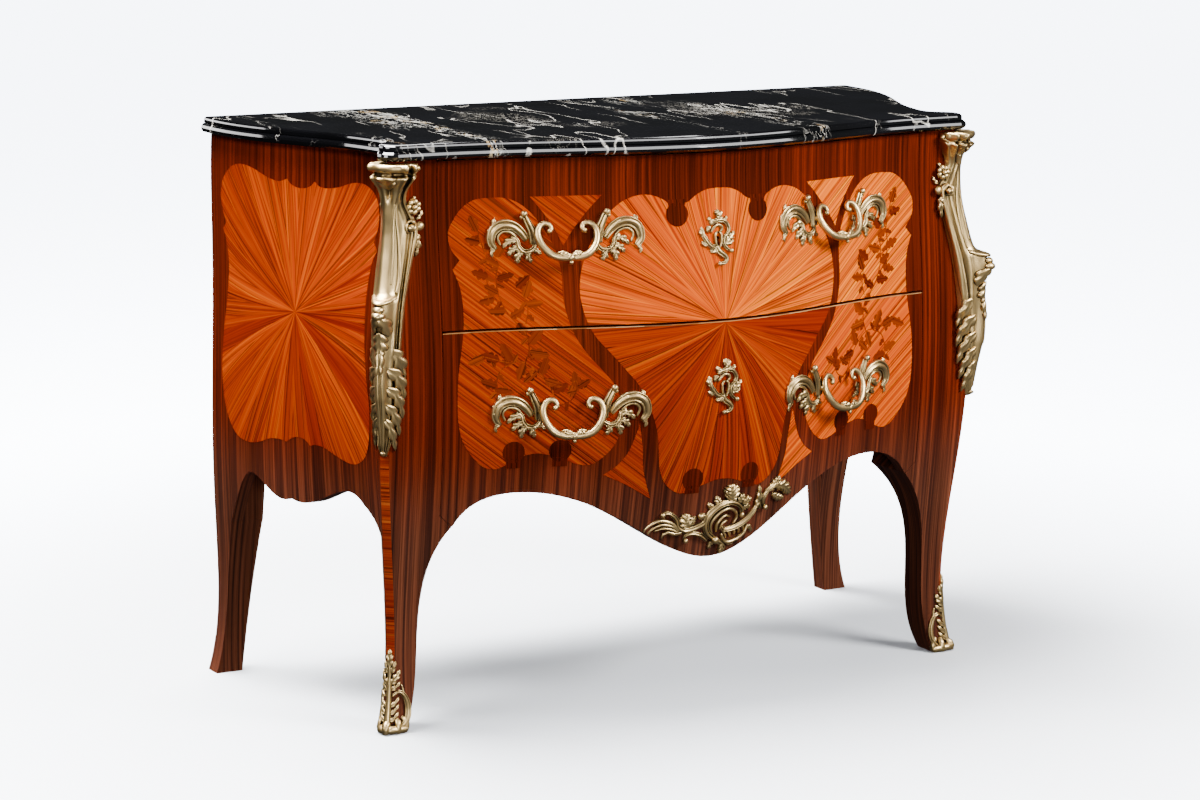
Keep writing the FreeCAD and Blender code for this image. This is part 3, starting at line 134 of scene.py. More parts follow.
def mesh_object(name, points, faces, material):
    """A smooth-shaded object of one material."""
    data = bpy.data.meshes.new(name)
    data.from_pydata([tuple(p) for p in points], [], faces)
    data.polygons.foreach_set("use_smooth", [True] * len(data.polygons))
    data.update()
    made = bpy.data.objects.new(name, data)
    bpy.context.scene.collection.objects.link(made)
    data.materials.append(material)
    return made


print("middle grey in linear light:", [round(v, 3) for v in linear("#808080")])

# %% [markdown]
# A pale studio. The floor is a round dish of white paper, flat under the piece and turned up far behind
# the camera. A plain sheet with one raised wall would hide the piece from behind, and a dish closes the
# view from every side. It glows away from the piece and stays white there. It is hidden from mirror and
# bounce rays: the polished wood then shows the dim room and the lamps instead of a milky veil of floor.

# %% Paper floor
FLAT_RADIUS, TURN_RADIUS, WALL_TOP, SIDES = 10.0, 4.0, 20.0, 64
INNER_RINGS = (1.0, 3.0)
FIRST_TURN = 0.15
GLOW_FROM, GLOW_TO = 0.7, 2.2
GLOW_LOW, GLOW_HIGH = 0.06, 9.0
paper, tree, shader = new_material("matt_white_paper")
speck = node(tree, "TexNoise", {"Scale": 1.2, "Detail": 3.0})
tint = node(tree, "ValToRGB", {"Fac": speck.outputs["Fac"]}, stops=[(0.3, "#ECF0F6"), (0.7, "#F1F4F9")])
tree.links.new(tint.outputs["Color"], shader.inputs["Base Color"])
shader.inputs["Roughness"].default_value = 0.9
shader.inputs["Emission Color"].default_value = linear("#E6EDFA")
where = node(tree, "TexCoord").outputs["Object"]
reach = node(tree, "VectorMath", {0: where}, operation="LENGTH").outputs["Value"]
glow = node(tree, "MapRange", {0: reach, 1: GLOW_FROM, 2: GLOW_TO, 3: GLOW_LOW, 4: GLOW_HIGH},
            interpolation_type="SMOOTHSTEP")
tree.links.new(glow.outputs[0], shader.inputs["Emission Strength"])
profile = [(r, 0.0) for r in INNER_RINGS + (FLAT_RADIUS,)]
profile += [(FLAT_RADIUS + TURN_RADIUS * math.sin(a), TURN_RADIUS * (1 - math.cos(a)))
            for a in np.linspace(FIRST_TURN, math.pi / 2, 10)]
profile += [(FLAT_RADIUS + TURN_RADIUS, WALL_TOP)]
ring_turns = np.arange(SIDES) * 2 * math.pi / SIDES
dish = [(0, 0, 0)] + [(r * math.cos(a), r * math.sin(a), z) for r, z in profile for a in ring_turns]
panes = [(0, 1 + j, 1 + (j + 1) % SIDES) for j in range(SIDES)]
for i in range(len(profile) - 1):
    low, high = 1 + i * SIDES, 1 + (i + 1) * SIDES
    panes += [(low + j, high + j, high + (j + 1) % SIDES, low + (j + 1) % SIDES) for j in range(SIDES)]
floor = mesh_object("floor", dish, panes, paper)
floor.visible_glossy = False
floor.visible_diffuse = False
print("floor:", len(panes), "panes")

# %% [markdown]
# The room is dim and a little lighter in front. A broad lamp hangs over the piece, one stands high at the
# front right, one lights the left side, and weak ones lift the legs and the back. A ring of even light would
# be simpler, but these places put the bright and dark sides where the picture has them. Two long strips
# draw lines on the marble's moulded edge, and flags keep them off the wood.

# %% Room and lamps
ROOM_FRONT, ROOM_BACK = 0.26, 0.03
LAMPS = [
    # name, place, aim and size in metres, watts
    ("top_light", (-0.8, 0.8, 3.5), (0, 0, 0.2), (2.2, 1.6), 1050),
    ("front_light", (1.7, -2.5, 2.5), (0.1, -0.2, 0.6), (1.2, 1.2), 245),
    ("side_light", (-3.4, -0.6, 3.1), (0, 0, 0.7), (1.4, 1.4), 160),
    ("low_fill", (-1.6, -4.6, 1.0), (0, 0, 0.3), (1.6, 1.0), 105),
    ("back_light", (1.6, 3.2, 2.8), (0, 0, 0.6), (1.6, 1.2), 60),
]
STRIPS = [("front_strip", (1.4, -4.2, 2.1)), ("left_strip", (-2.6, 4.2, 1.9))]
STRIP_AIM, STRIP_SIZE, STRIP_WATTS = (0, 0, 0.86), (7.0, 1.5), 480
world = bpy.data.worlds.new("surround")
bpy.context.scene.world = world
world.use_nodes = True
room = world.node_tree
way = node(room, "SeparateXYZ", {0: node(room, "TexCoord").outputs["Generated"]})
dim = node(room, "MapRange", {0: way.outputs[1], 1: -1.0, 2: 0.7, 3: ROOM_FRONT, 4: ROOM_BACK},
           interpolation_type="SMOOTHSTEP")
room.nodes["Background"].inputs["Color"].default_value = linear("#EDF2FB")
room.links.new(dim.outputs[0], room.nodes["Background"].inputs["Strength"])


def softbox(name, place, aim, size, power):
    """A white rectangular lamp that looks at a point."""
    lamp = bpy.data.lights.new(name, "AREA")
    lamp.shape = "RECTANGLE"
    lamp.size, lamp.size_y = size
    lamp.energy = power
    made = bpy.data.objects.new(name, lamp)
    bpy.context.scene.collection.objects.link(made)
    made.location = place
    made.rotation_euler = (Vector(aim) - Vector(place)).to_track_quat("-Z", "Y").to_euler()
    return made


for lamp in LAMPS:
    softbox(*lamp)
flagged = bpy.data.collections.new("lit_by_the_strips")
flagged.objects.link(nodes["marble_top"])
for name, place in STRIPS:
    strip = softbox(name, place, STRIP_AIM, STRIP_SIZE, STRIP_WATTS)
    strip.light_linking.receiver_collection = flagged
print("lamps:", len(LAMPS), "strips:", len(STRIPS))

# %% [markdown]
# Rosewood: a dense tropical timber cut into thin sheets of veneer and French polished. The eye sees
# a dark red-brown ground, long almost black streaks that run up the piece and short fine pores, all
# under a clear gloss. Streaks are about 5 mm wide and 700 mm long, and leaves of veneer about 70 mm
# wide differ in tone. Pores are about 0.7 mm wide, drawn as 1.8 mm so that they show at this size. Towards
# the floor the colour turns a duller, browner red. Polished wood shines from its fibres, so its sheen is
# warm.
# A picture of wood would stretch on the swelling faces; a noise drawn out along the grain keeps its scale.

# %% Rosewood
FIBRE_SHEEN = "#FF9440"
WOOD_IOR = 1.5
POLISH_SHINE = 0.09
FACES_APART = 50.0  # keeps the pattern of one face from running on over the next
# Between these heights the colour blends towards the duller, browner stops below.
DULLER_TOP, DULLER_FOOT = 0.46, 0.26  # metres above the floor


def grain_fields(tree, wide, narrow, long, upright=True):
    """Streaks, pores and leaves of a straight-grained wood; sizes in millimetres."""
    place = node(tree, "SeparateXYZ", {0: node(tree, "TexCoord").outputs["Object"]}).outputs
    turned = node(tree, "SeparateXYZ", {0: node(tree, "NewGeometry").outputs["Normal"]}).outputs
    sideways = node(tree, "Math", {0: turned[0]}, operation="ABSOLUTE").outputs[0]
    forwards = node(tree, "Math", {0: turned[1]}, operation="ABSOLUTE").outputs[0]
    facing = node(tree, "Math", {0: forwards, 1: sideways}, operation="GREATER_THAN").outputs[0]
    level_run = node(tree, "Mix", {0: facing, 2: place[1], 3: place[0]}).outputs[0]
    over, run = (level_run, place[2]) if upright else (place[2], level_run)
    spot = node(tree, "CombineXYZ", {0: over, 1: facing, 2: run}).outputs[0]
    fields = []
    for width, length, detail in ((wide, long, 4.0), (narrow, long / 4, 2.0), (14 * wide, 4 * long, 1.0)):
        over_scale, run_scale = per_metre(width, length)
        scale = (over_scale, FACES_APART, run_scale)
        spread = node(tree, "VectorMath", {0: spot, 1: scale}, operation="MULTIPLY").outputs[0]
        settings = {"Vector": spread, "Scale": 1.0, "Detail": detail, "Roughness": 0.62}
        fields.append(node(tree, "TexNoise", settings))
    return [field.outputs["Fac"] for field in fields] + [place[2]]


def straight_wood(name, streaks, gloss, sizes, upright=True, duller_stops=None):
    """A polished or plain wood with its grain upright or level; faded is the colour of its lower end."""
    material, tree, shader = new_material(name)
    streak, pore, leaf, height = grain_fields(tree, *sizes, upright=upright)
    colour = node(tree, "ValToRGB", {"Fac": streak}, stops=streaks).outputs["Color"]
    # Towards the floor the colour blends into the duller, browner stops.
    if duller_stops:
        dull = node(tree, "ValToRGB", {"Fac": streak}, stops=duller_stops).outputs["Color"]
        share = node(tree, "MapRange", {0: height, 1: DULLER_TOP, 2: DULLER_FOOT, 3: 0.0, 4: 1.0},
                     interpolation_type="SMOOTHSTEP").outputs[0]
        colour = node(tree, "Mix", {0: share, 6: colour, 7: dull}, data_type="RGBA").outputs[2]
    pores = node(tree, "ValToRGB", {"Fac": pore}, stops=[(0.32, 0.46), (0.48, 1.0)]).outputs["Color"]
    leaves = node(tree, "ValToRGB", {"Fac": leaf}, stops=[(0.36, 0.70), (0.62, 1.18)]).outputs["Color"]
    for darker in (pores, leaves):
        colour = node(tree, "Mix", {0: 1.0, 6: colour, 7: darker}, data_type="RGBA",
                      blend_type="MULTIPLY").outputs[2]
    tree.links.new(colour, shader.inputs["Base Color"])
    rough = node(tree, "MapRange", {0: pore, 1: 0.25, 2: 0.75, 3: gloss + 0.14, 4: gloss})
    tree.links.new(rough.outputs[0], shader.inputs["Roughness"])
    dent = node(tree, "Bump", {"Height": pore, "Strength": 0.12, "Distance": 0.0004})
    tree.links.new(dent.outputs["Normal"], shader.inputs["Normal"])
    shader.inputs["IOR"].default_value = WOOD_IOR
    shader.inputs["Specular IOR Level"].default_value = POLISH_SHINE
    shader.inputs["Specular Tint"].default_value = linear(FIBRE_SHEEN)
    return material


rosewood = straight_wood(
    "rosewood_french_polished",
    [(0.30, "#280A04"), (0.43, "#421005"), (0.56, "#5E1905"), (0.72, "#7C2608")],
    0.26, (5.0, 1.8, 700.0),
    duller_stops=[(0.30, "#231410"), (0.42, "#3C2018"), (0.54, "#5A3020"), (0.70, "#74402C")])
oak = straight_wood(
    "oak_plain",
    [(0.25, "#5A3A1C"), (0.45, "#80552C"), (0.60, "#98693A"), (0.78, "#AE7F4E")],
    0.55, (12.0, 1.6, 420.0), upright=False)
print("woods:", rosewood.name, oak.name)

# %% [markdown]
# Tulipwood: a pale salmon and red striped wood. Its sheets are cut as wedges and laid with the
# stripes running out from the middle, so the panel shines like a sunburst. The stripes follow each
# sheet, not the object, and a pattern fixed to the object could not turn with the wedges. So every sheet
# carries its own flat coordinates: along the grain, across the grain, and a second pair with its tone and a
# number that keeps sheets from repeating. Stripes are about 4 mm wide, and thin dark lines 2.3 mm, which is
# coarser than the real ones so that they show.

# %% Tulipwood
STRIPE_SIZE, LINE_SIZE = (625.0, 4.1667), (500.0, 2.3256)  # millimetres along and across the grain
STRIPES_APART, LINES_APART = 37.0, 91.0  # how far the patterns of two sheets lie from each other
VENEER_SHINE = 0.10


def tulipwood(name, stripes, dark_tone, middle_tone=None):
    """A striped veneer; a sheet of tone 0 takes the dark tone and one of tone 1 the full colours."""
    tones = [(0.0, dark_tone)] + ([(0.7, middle_tone)] if middle_tone else []) + [(1.0, "#FFFFFF")]
    material, tree, shader = new_material(name)
    flat = node(tree, "UVMap", uv_map="grain").outputs["UV"]
    sheet = node(tree, "SeparateXYZ", {0: node(tree, "UVMap", uv_map="sheet").outputs["UV"]})
    along = node(tree, "SeparateXYZ", {0: flat})
    spot = {0: along.outputs[0], 1: along.outputs[1], 2: sheet.outputs[1]}
    place = node(tree, "CombineXYZ", spot).outputs[0]
    stripe_scale = (*per_metre(*STRIPE_SIZE), STRIPES_APART)
    line_scale = (*per_metre(*LINE_SIZE), LINES_APART)
    broad = node(tree, "VectorMath", {0: place, 1: stripe_scale}, operation="MULTIPLY").outputs[0]
    thin = node(tree, "VectorMath", {0: place, 1: line_scale}, operation="MULTIPLY").outputs[0]
    stripe = node(tree, "TexNoise", {"Vector": broad, "Scale": 1.0, "Detail": 3.0, "Roughness": 0.66})
    line = node(tree, "TexNoise", {"Vector": thin, "Scale": 1.0, "Detail": 2.0, "Roughness": 0.55})
    colour = node(tree, "ValToRGB", {"Fac": stripe.outputs["Fac"]}, stops=stripes).outputs["Color"]
    lines = node(tree, "ValToRGB", {"Fac": line.outputs["Fac"]}, stops=[(0.38, 0.16), (0.45, 1.0)])
    lined = node(tree, "Mix", {0: 0.8, 6: colour, 7: lines.outputs["Color"]}, data_type="RGBA",
                 blend_type="MULTIPLY")
    tone = node(tree, "ValToRGB", {"Fac": sheet.outputs[0]}, stops=tones)
    final = node(tree, "Mix", {0: 1.0, 6: lined.outputs[2], 7: tone.outputs["Color"]}, data_type="RGBA",
                 blend_type="MULTIPLY")
    tree.links.new(final.outputs[2], shader.inputs["Base Color"])
    rough = node(tree, "MapRange", {0: line.outputs["Fac"], 1: 0.3, 2: 0.7, 3: 0.40, 4: 0.28})
    tree.links.new(rough.outputs[0], shader.inputs["Roughness"])
    dent = node(tree, "Bump", {"Height": line.outputs["Fac"], "Strength": 0.08, "Distance": 0.0003})
    tree.links.new(dent.outputs["Normal"], shader.inputs["Normal"])
    shader.inputs["IOR"].default_value = WOOD_IOR
    shader.inputs["Specular IOR Level"].default_value = VENEER_SHINE
    shader.inputs["Specular Tint"].default_value = linear(FIBRE_SHEEN)
    return material


sunburst_wood = tulipwood(
    "tulipwood_polished",
    [(0.30, "#922C00"), (0.43, "#C85100"), (0.56, "#E86E00"), (0.72, "#FF9800")], "#8E4E3C", "#E4C490")
leaf_wood = tulipwood(
    "stained_fruitwood", [(0.30, "#6A2002"), (0.50, "#802E03"), (0.70, "#963C04")], "#B89078")
strap_wood = tulipwood(
    "amaranth_polished", [(0.30, "#380E04"), (0.50, "#541604"), (0.72, "#6C1E06")], "#907060")
print("veneers:", sunburst_wood.name, leaf_wood.name, strap_wood.name)

# %% [markdown]
# The fronts and sides swell both ways, so a flat sheet has to be bent onto them. A modifier could shrink a
# sheet onto the solid, but the facets of the solid would print through. Both surfaces are a wave across
# the piece whose size changes with height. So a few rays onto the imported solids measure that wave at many
# heights, and a smooth curve through them gives a clean surface to lay veneer on.

# %% Measuring the swell
BACK_Y, MIDDLE_Z = 0.2783, 0.55  # metres, as are all sizes in this cell
BOW_HALF_WIDTH = 0.460
SIDE_WAVE_DEPTH, SIDE_FULLNESS = 0.385, 1.2
IN_FRONT, BESIDE, RAY_LENGTH = -1.0, 1.5, 2.0
FRONT_STATIONS, SIDE_STATIONS = np.linspace(-0.37, 0.37, 23), np.linspace(0.03, 0.37, 18)
APRON_HEIGHTS, PANEL_HEIGHTS = [0.30, 0.33], list(np.linspace(0.36, 0.83, 30))
CURVE_ORDER, FEWEST_HITS = 6, 4


def rays_onto(names):
    """The named solids as one target for rays."""
    points, faces = [], []
    for name in names:
        data = nodes[name].data
        start = len(points)
        points += [v.co.copy() for v in data.vertices]
        faces += [[start + i for i in p.vertices] for p in data.polygons]
    return BVHTree.FromPolygons(points, faces)


def front_wave(x):
    """The wave across the fronts: 1 in the middle and 0 at the posts."""
    return 0.5 * (1 + math.cos(math.pi * min(abs(x) / BOW_HALF_WIDTH, 1.0)))


def side_wave(s):
    """The wave along a side: 1 at the back and 0 near the front post."""
    return 0.5 * (1 + math.cos(math.pi * min(max(s, 0) / SIDE_WAVE_DEPTH, 1.0) ** SIDE_FULLNESS))


def swell_curves(tree, aim, way, wave, stations, heights):
    """Two curves over height: the surface is (1 - wave) * first + wave * second."""
    found = []
    for z in heights:
        rows, values = [], []
        for place in stations:
            hit = tree.ray_cast(aim(place, z), way, RAY_LENGTH)[0]
            if hit is not None:
                rows.append((1 - wave(place), wave(place)))
                values.append(hit.dot(way))
        if len(rows) >= FEWEST_HITS:
            found.append((z, *np.linalg.lstsq(np.array(rows), np.array(values), rcond=None)[0]))
    z, low, high = np.array(found).T
    return [np.polyfit(z - MIDDLE_Z, values, CURVE_ORDER).tolist() for values in (low, high)]


fronts = rays_onto(["upper_front", "lower_front"])
flanks = rays_onto(["right_side_panel", "right_rear_stile", "right_front_stile"])
front_fit = swell_curves(
    fronts, lambda x, z: Vector((x, IN_FRONT, z)), Vector((0, 1, 0)), front_wave,
    FRONT_STATIONS, APRON_HEIGHTS + PANEL_HEIGHTS)
side_fit = swell_curves(
    flanks, lambda s, z: Vector((BESIDE, BACK_Y - s, z)), Vector((-1, 0, 0)), side_wave,
    SIDE_STATIONS, PANEL_HEIGHTS)
print("terms of each curve:", len(front_fit[0]), len(side_fit[0]))

# %% [markdown]
# With the wave known, any flat place has its spot on the wood. A piece also has to stand off the wood
# squarely, so its lift follows the slope of the surface there. On the sides the fit can dip a hair into the
# panel, so a ray keeps each point above the real wood.

# %% Places on the fronts and sides
SLOPE_STEP = 0.002  # metres
LEAST_LIFT = 0.6  # share of the lift that is always left above the wood


def curve(terms, z):
    """A polynomial of the height above the middle of the drawers."""
    total = 0.0
    for term in terms:
        total = total * (z - MIDDLE_Z) + term
    return total


def front_depth(x, z):
    """How far back the drawer fronts are at a place."""
    share = front_wave(x)
    return (1 - share) * curve(front_fit[0], z) + share * curve(front_fit[1], z)


def side_reach(s, z):
    """How far out the right side is at a place."""
    share = side_wave(s)
    return -((1 - share) * curve(side_fit[0], z) + share * curve(side_fit[1], z))


def slopes(surface, u, z):
    """How steeply a surface runs along its two flat directions."""
    step = SLOPE_STEP
    return ((surface(u + step, z) - surface(u - step, z)) / (2 * step),
            (surface(u, z + step) - surface(u, z - step)) / (2 * step))


def on_front(x, z, lift=0.0):
    """A point on the drawer fronts, lifted out along the surface's own direction."""
    slope_x, slope_z = slopes(front_depth, x, z)
    out = Vector((slope_x, -1.0, slope_z)).normalized()
    return Vector((x, front_depth(x, z), z)) + out * lift


def on_side(s, z, lift=0.0, hand=1):
    """A point on a side panel; s is the distance from the back, hand is 1 for right and -1 for left."""
    slope_s, slope_z = slopes(side_reach, s, z)
    out = Vector((1.0, slope_s, -slope_z)).normalized()
    point = Vector((side_reach(s, z), BACK_Y - s, z)) + out * lift
    wood = flanks.ray_cast(Vector((BESIDE, point.y, point.z)), Vector((-1, 0, 0)), RAY_LENGTH)[0]
    far = max(point.x, wood.x + LEAST_LIFT * lift) if wood else point.x
    return Vector((hand * far, point.y, point.z))


print("front at the belly:", [round(v, 4) for v in on_front(0, 0.5)])
print("side at the belly:", [round(v, 4) for v in on_side(0.2, 0.6)])

# %% [markdown]
# Marquetry is sheets of veneer cut to an outline. It could be painted on as a mask, but real sheets have an
# edge and a grain of their own. An outline here is flat, in millimetres, and made of runs of points: a run
# is smooth inside and meets the next one in a sharp corner.

# %% Outlines
JOIN_GAP = 0.3  # runs closer than this share their end point


def smooth_run(points, steps=5):
    """A smooth curve through the points, blended from neighbouring parabolas."""
    p = [np.array(q, float) for q in points]
    if len(p) < 3:
        return [tuple(q) for q in p]
    p = [2 * p[0] - p[1]] + p + [2 * p[-1] - p[-2]]
    out = []
    for a, b, c, d in zip(p, p[1:], p[2:], p[3:]):
        for t in np.arange(steps) / steps:
            out.append(tuple(0.5 * (2 * b + (c - a) * t + (2 * a - 5 * b + 4 * c - d) * t * t
                                    + (3 * b - a - 3 * c + d) * t ** 3)))
    return out + [tuple(p[-2])]


def closed_outline(runs, steps=5):
    """Joins smooth runs into one ring of points."""
    ring = []
    for run in runs:
        part = smooth_run(run, steps)
        if ring and math.dist(ring[-1], part[0]) < JOIN_GAP:
            part = part[1:]
        ring += part
    if math.dist(ring[0], ring[-1]) < JOIN_GAP:
        ring.pop()
    return ring


def keep_side(ring, height, above):
    """The part of a ring above or below a level line."""
    out = []
    sign = 1 if above else -1
    for p, q in zip(ring, ring[1:] + ring[:1]):
        p_in, q_in = sign * (p[1] - height) >= 0, sign * (q[1] - height) >= 0
        if p_in:
            out.append(p)
        if p_in != q_in:
            t = (height - p[1]) / (q[1] - p[1])
            out.append((p[0] + t * (q[0] - p[0]), height))
    return out


def short_edges(ring, longest):
    """The same ring with extra points, so that each edge can follow the bend of the surface."""
    out = []
    for p, q in zip(ring, ring[1:] + ring[:1]):
        count = math.ceil(math.dist(p, q) / longest)
        out += [(p[0] + (q[0] - p[0]) * k / count, p[1] + (q[1] - p[1]) * k / count) for k in range(count)]
    return out


def inside(point, ring, margin):
    """True where a point is in a ring and not too close to its edge."""
    x, z = point
    hit = False
    for (x0, z0), (x1, z1) in zip(ring, ring[1:] + ring[:1]):
        if (z0 > z) != (z1 > z) and x < (x1 - x0) * (z - z0) / (z1 - z0) + x0:
            hit = not hit
        length = (x1 - x0) ** 2 + (z1 - z0) ** 2
        t = 0 if length == 0 else max(0, min(1, ((x - x0) * (x1 - x0) + (z - z0) * (z1 - z0)) / length))
        if math.hypot(x - x0 - t * (x1 - x0), z - z0 - t * (z1 - z0)) < margin:
            return False
    return hit


print("points in a smooth run of three:", len(smooth_run([(0, 0), (1, 1), (2, 0)])))

# %% [markdown]
# Each outline is filled with small triangles, so that the sheet can bend, and laid on the curved surface a
# little proud of the wood: 0.4 mm for the light sheets, a hair more for what lies on them. All sheets of one
# wood become one mesh, which is lighter than an object for each and still lets every sheet have its own
# grain, through flat coordinates stored at its corners.

# %% Sheets of veneer
VENEER_LIFT, SPRAY_LIFT, BOSS_LIFT = 0.4, 0.5, 0.55  # millimetres, as are all sizes in this cell
SHEET_PITCH, SAME_POINT, EDGE_CLEARANCE, HOLE_NEAR = 9.0, 0.05, 1.2, 20


class Sheets:
    """Gathers flat sheets of one wood, then lays them all as one mesh."""

    def __init__(self, seed):
        self.points, self.faces, self.grain, self.sheet = [], [], [], []
        self.dice = random.Random(seed)

    def add(self, ring, grain, tone=None, pitch=SHEET_PITCH, hole=()):
        """Adds one sheet: its outline in mm, the direction of its grain in degrees, its tone and a hole."""
        ring = [p for i, p in enumerate(ring) if math.dist(p, ring[i - 1]) > SAME_POINT]
        if len(ring) < 3:
            return
        ring = short_edges(ring, pitch)
        xs, zs = zip(*ring)
        inner = [(x, z) for x in np.arange(min(xs) + pitch / 2, max(xs), pitch)
                 for z in np.arange(min(zs) + pitch / 2, max(zs), pitch)
                 if inside((x, z), ring, EDGE_CLEARANCE)]
        near = [p for p in hole
                if min(xs) - HOLE_NEAR < p[0] < max(xs) + HOLE_NEAR
                and min(zs) - HOLE_NEAR < p[1] < max(zs) + HOLE_NEAR]
        hole = list(hole) if near else []
        first = len(ring) + len(inner)
        edges = [(i, (i + 1) % len(ring)) for i in range(len(ring))]
        edges += [(first + i, first + (i + 1) % len(hole)) for i in range(len(hole))]
        made = delaunay_2d_cdt([Vector(p) for p in ring + inner + hole], edges, [], 1, 0.01)
        start = len(self.points)
        self.points += [(p.x, p.y) for p in made[0]]
        tone = self.dice.random() if tone is None else tone
        seed = self.dice.uniform(0, 10)
        c, s = math.cos(math.radians(grain)), math.sin(math.radians(grain))
        shift = self.dice.uniform(0, 5), self.dice.uniform(0, 5)
        for face in made[2]:
            if hole and inside(sum((made[0][i] for i in face), Vector((0, 0))) / len(face), hole, 0.0):
                continue
            self.faces.append([start + i for i in face])
            for i in face:
                x, z = made[0][i]
                self.grain.append(((x * c + z * s) / 1000 + shift[0], (z * c - x * s) / 1000 + shift[1]))
                self.sheet.append((tone, seed))

    def lay(self, name, body, material, surface, lift, slot="rosewood_veneer"):
        """Bends the sheets onto a surface, which takes two flat coordinates and a lift in metres."""
        points = [surface(u / 1000, v / 1000, lift / 1000) for u, v in self.points]
        made = mesh_object(name, points, self.faces, material)
        for layer, values in (("grain", self.grain), ("sheet", self.sheet)):
            flat = np.array(values, np.float32).ravel()
            made.data.uv_layers.new(name=layer).data.foreach_set("uv", flat)
        face = made.data.polygons[0]
        out = surface(self.points[0][0] / 1000, self.points[0][1] / 1000, 0.01) - points[0]
        if face.normal.dot(out) < 0:
            made.data.flip_normals()
        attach(made, body)
        print(f"{name}: {len(self.faces)} triangles")
        return made


print("sheets lie proud by:", VENEER_LIFT, SPRAY_LIFT, BOSS_LIFT, "mm")

# %% [markdown]
# The big sunburst spans both drawers. Its outline has a lobed head with two round bosses, a waist drawn in
# by dark straps, and a narrow foot above the apron. One panel with a radial pattern would do from afar.
# Here each wedge is cut as the maker cut it, so each has its own tone and a crisp joint.

# %% Cutting wedges
def wedges(ring, middle, count, seed):
    """Splits a ring into wedges round a point: (outline, grain direction) of each."""
    dice = random.Random(seed)
    turn = [math.atan2(z - middle[1], x - middle[0]) for x, z in ring]
    order = sorted(range(len(ring)), key=lambda i: turn[i])
    angle = [turn[i] for i in order]
    reach = [math.dist(ring[i], middle) for i in order]
    angle = [angle[-1] - 2 * math.pi] + angle + [angle[0] + 2 * math.pi]
    reach = [reach[-1]] + reach + [reach[0]]
    cuts = [-math.pi + 2 * math.pi * (i + dice.uniform(-0.22, 0.22)) / count for i in range(count)]
    out = []
    for a, b in zip(cuts, cuts[1:] + [cuts[0] + 2 * math.pi]):
        between = [t for t in angle if a < t < b]
        between += [t + 2 * math.pi for t in angle if a < t + 2 * math.pi < b and t < cuts[0]]
        rim = []
        for t in [a] + between + [b]:
            t_in = t if t <= math.pi else t - 2 * math.pi
            r = float(np.interp(t_in, angle, reach))
            rim.append((middle[0] + r * math.cos(t), middle[1] + r * math.sin(t)))
        out.append(([middle] + rim, math.degrees((a + b) / 2)))
    return out


print("wedges of a square:", len(wedges([(0, 0), (9, 0), (9, 9), (0, 9)], (4, 4), 8, 1)))

# %% [markdown]
# The join between the drawers cuts the sunburst in two, so each half is laid on its own drawer and travels
# with it. The upper half is painted paler, as painted light, with its wedges that point right paler still;
# the lower half is painted darker, as painted shade. A keyhole is left open in each half.

# %% Middle sunburst on the drawer fronts
MIDDLE_X = 6.0
UPPER_KEY_Z, LOWER_KEY_Z = 716, 496
SPLIT = (597.2, 593.8)
BURST_MIDDLE, BURST_WEDGES = (4.0, 591.0), 44
KEY_RADIUS, SLOT_HALF, SLOT_DEEP, SLOT_TURN = 3.2, 1.7, 11.0, 0.55
# The upper half's base tone and its swing towards wedges that point right are painted light; the lower half's
# low tone is painted shade; the spreads are random tone.
UPPER_PAINTED_LIGHT, PAINTED_LIGHT_FROM_RIGHT, UPPER_SPREAD = 0.70, 0.14, 0.36
LOWER_PAINTED_SHADE, LOWER_SPREAD = 0.02, 0.45
half_middle = [
    [(0, 790), (20, 788.5), (37, 782), (47, 775), (54, 771)],
    [(54, 771), (83, 767)],
    [(83, 767), (90, 775), (105, 782), (121, 785), (138, 783), (156, 776), (173, 763), (186, 748),
     (199, 730), (210, 708), (221, 680), (225.5, 650), (223, 625), (216, 600), (204, 578), (184, 555),
     (163, 530), (144, 507), (130, 482), (120, 455), (113, 430), (110, 405), (107, 380), (100, 360),
     (90, 347), (78, 338.5), (67, 335.5), (59, 339)],
    [(59, 339), (30, 347)],
    [(30, 347), (15, 351.5), (0, 353)],
]
right_ring = closed_outline(half_middle)
middle_ring = [(MIDDLE_X + x, z) for x, z in right_ring]
middle_ring += [(MIDDLE_X - x, z) for x, z in right_ring[-2:0:-1]]
middle_wedges = wedges(middle_ring, BURST_MIDDLE, BURST_WEDGES, 3)
upper_light, lower_light = Sheets(11), Sheets(12)


def keyhole(z):
    """The outline of a keyhole: a round with a slot below it."""
    turns = np.linspace(SLOT_TURN, 2 * math.pi - SLOT_TURN, 15)
    round_part = [(KEY_RADIUS * math.sin(a), z - KEY_RADIUS * math.cos(a)) for a in turns]
    return round_part + [(-SLOT_HALF, z - SLOT_DEEP), (SLOT_HALF, z - SLOT_DEEP)]


for ring, grain in middle_wedges:
    tone = 0.5 * upper_light.dice.random()
    # Painted light on the upper wedges, more where they point right; painted shade on the lower wedges.
    painted_light_tone = UPPER_PAINTED_LIGHT + PAINTED_LIGHT_FROM_RIGHT * math.cos(math.radians(grain)) + UPPER_SPREAD * tone
    painted_shade_tone = LOWER_PAINTED_SHADE + LOWER_SPREAD * tone
    upper_light.add(keep_side(ring, SPLIT[0], True), grain, painted_light_tone, hole=keyhole(UPPER_KEY_Z))
    lower_light.add(keep_side(ring, SPLIT[1], False), grain, painted_shade_tone, hole=keyhole(LOWER_KEY_Z))
print("wedges:", len(middle_wedges))

# %% [markdown]
# Beside the sunburst lie two tall cartouches with the stripes laid slantwise, mirrored left and
# right, and four small triangles fill the corners where the straps cross. Each shape is drawn once and
# mirrored, as a cutter saws two sheets that lie on each other. The right sheets are painted paler, as
# painted light, the left ones darker, as painted shade, and the lower halves darker still, as painted shade.

# %% Side cartouches and triangles of the fronts
SLANT = 38  # degrees
# The right tone is painted light; the left tone and the lower share are painted shade.
RIGHT_PAINTED_LIGHT, LEFT_PAINTED_SHADE, LOWER_PAINTED_SHADE_SHARE = 1.0, 0.20, 0.7


def mirror(ring):
    """A ring on the other side of the middle."""
    return [(-x, z) for x, z in reversed(ring)]


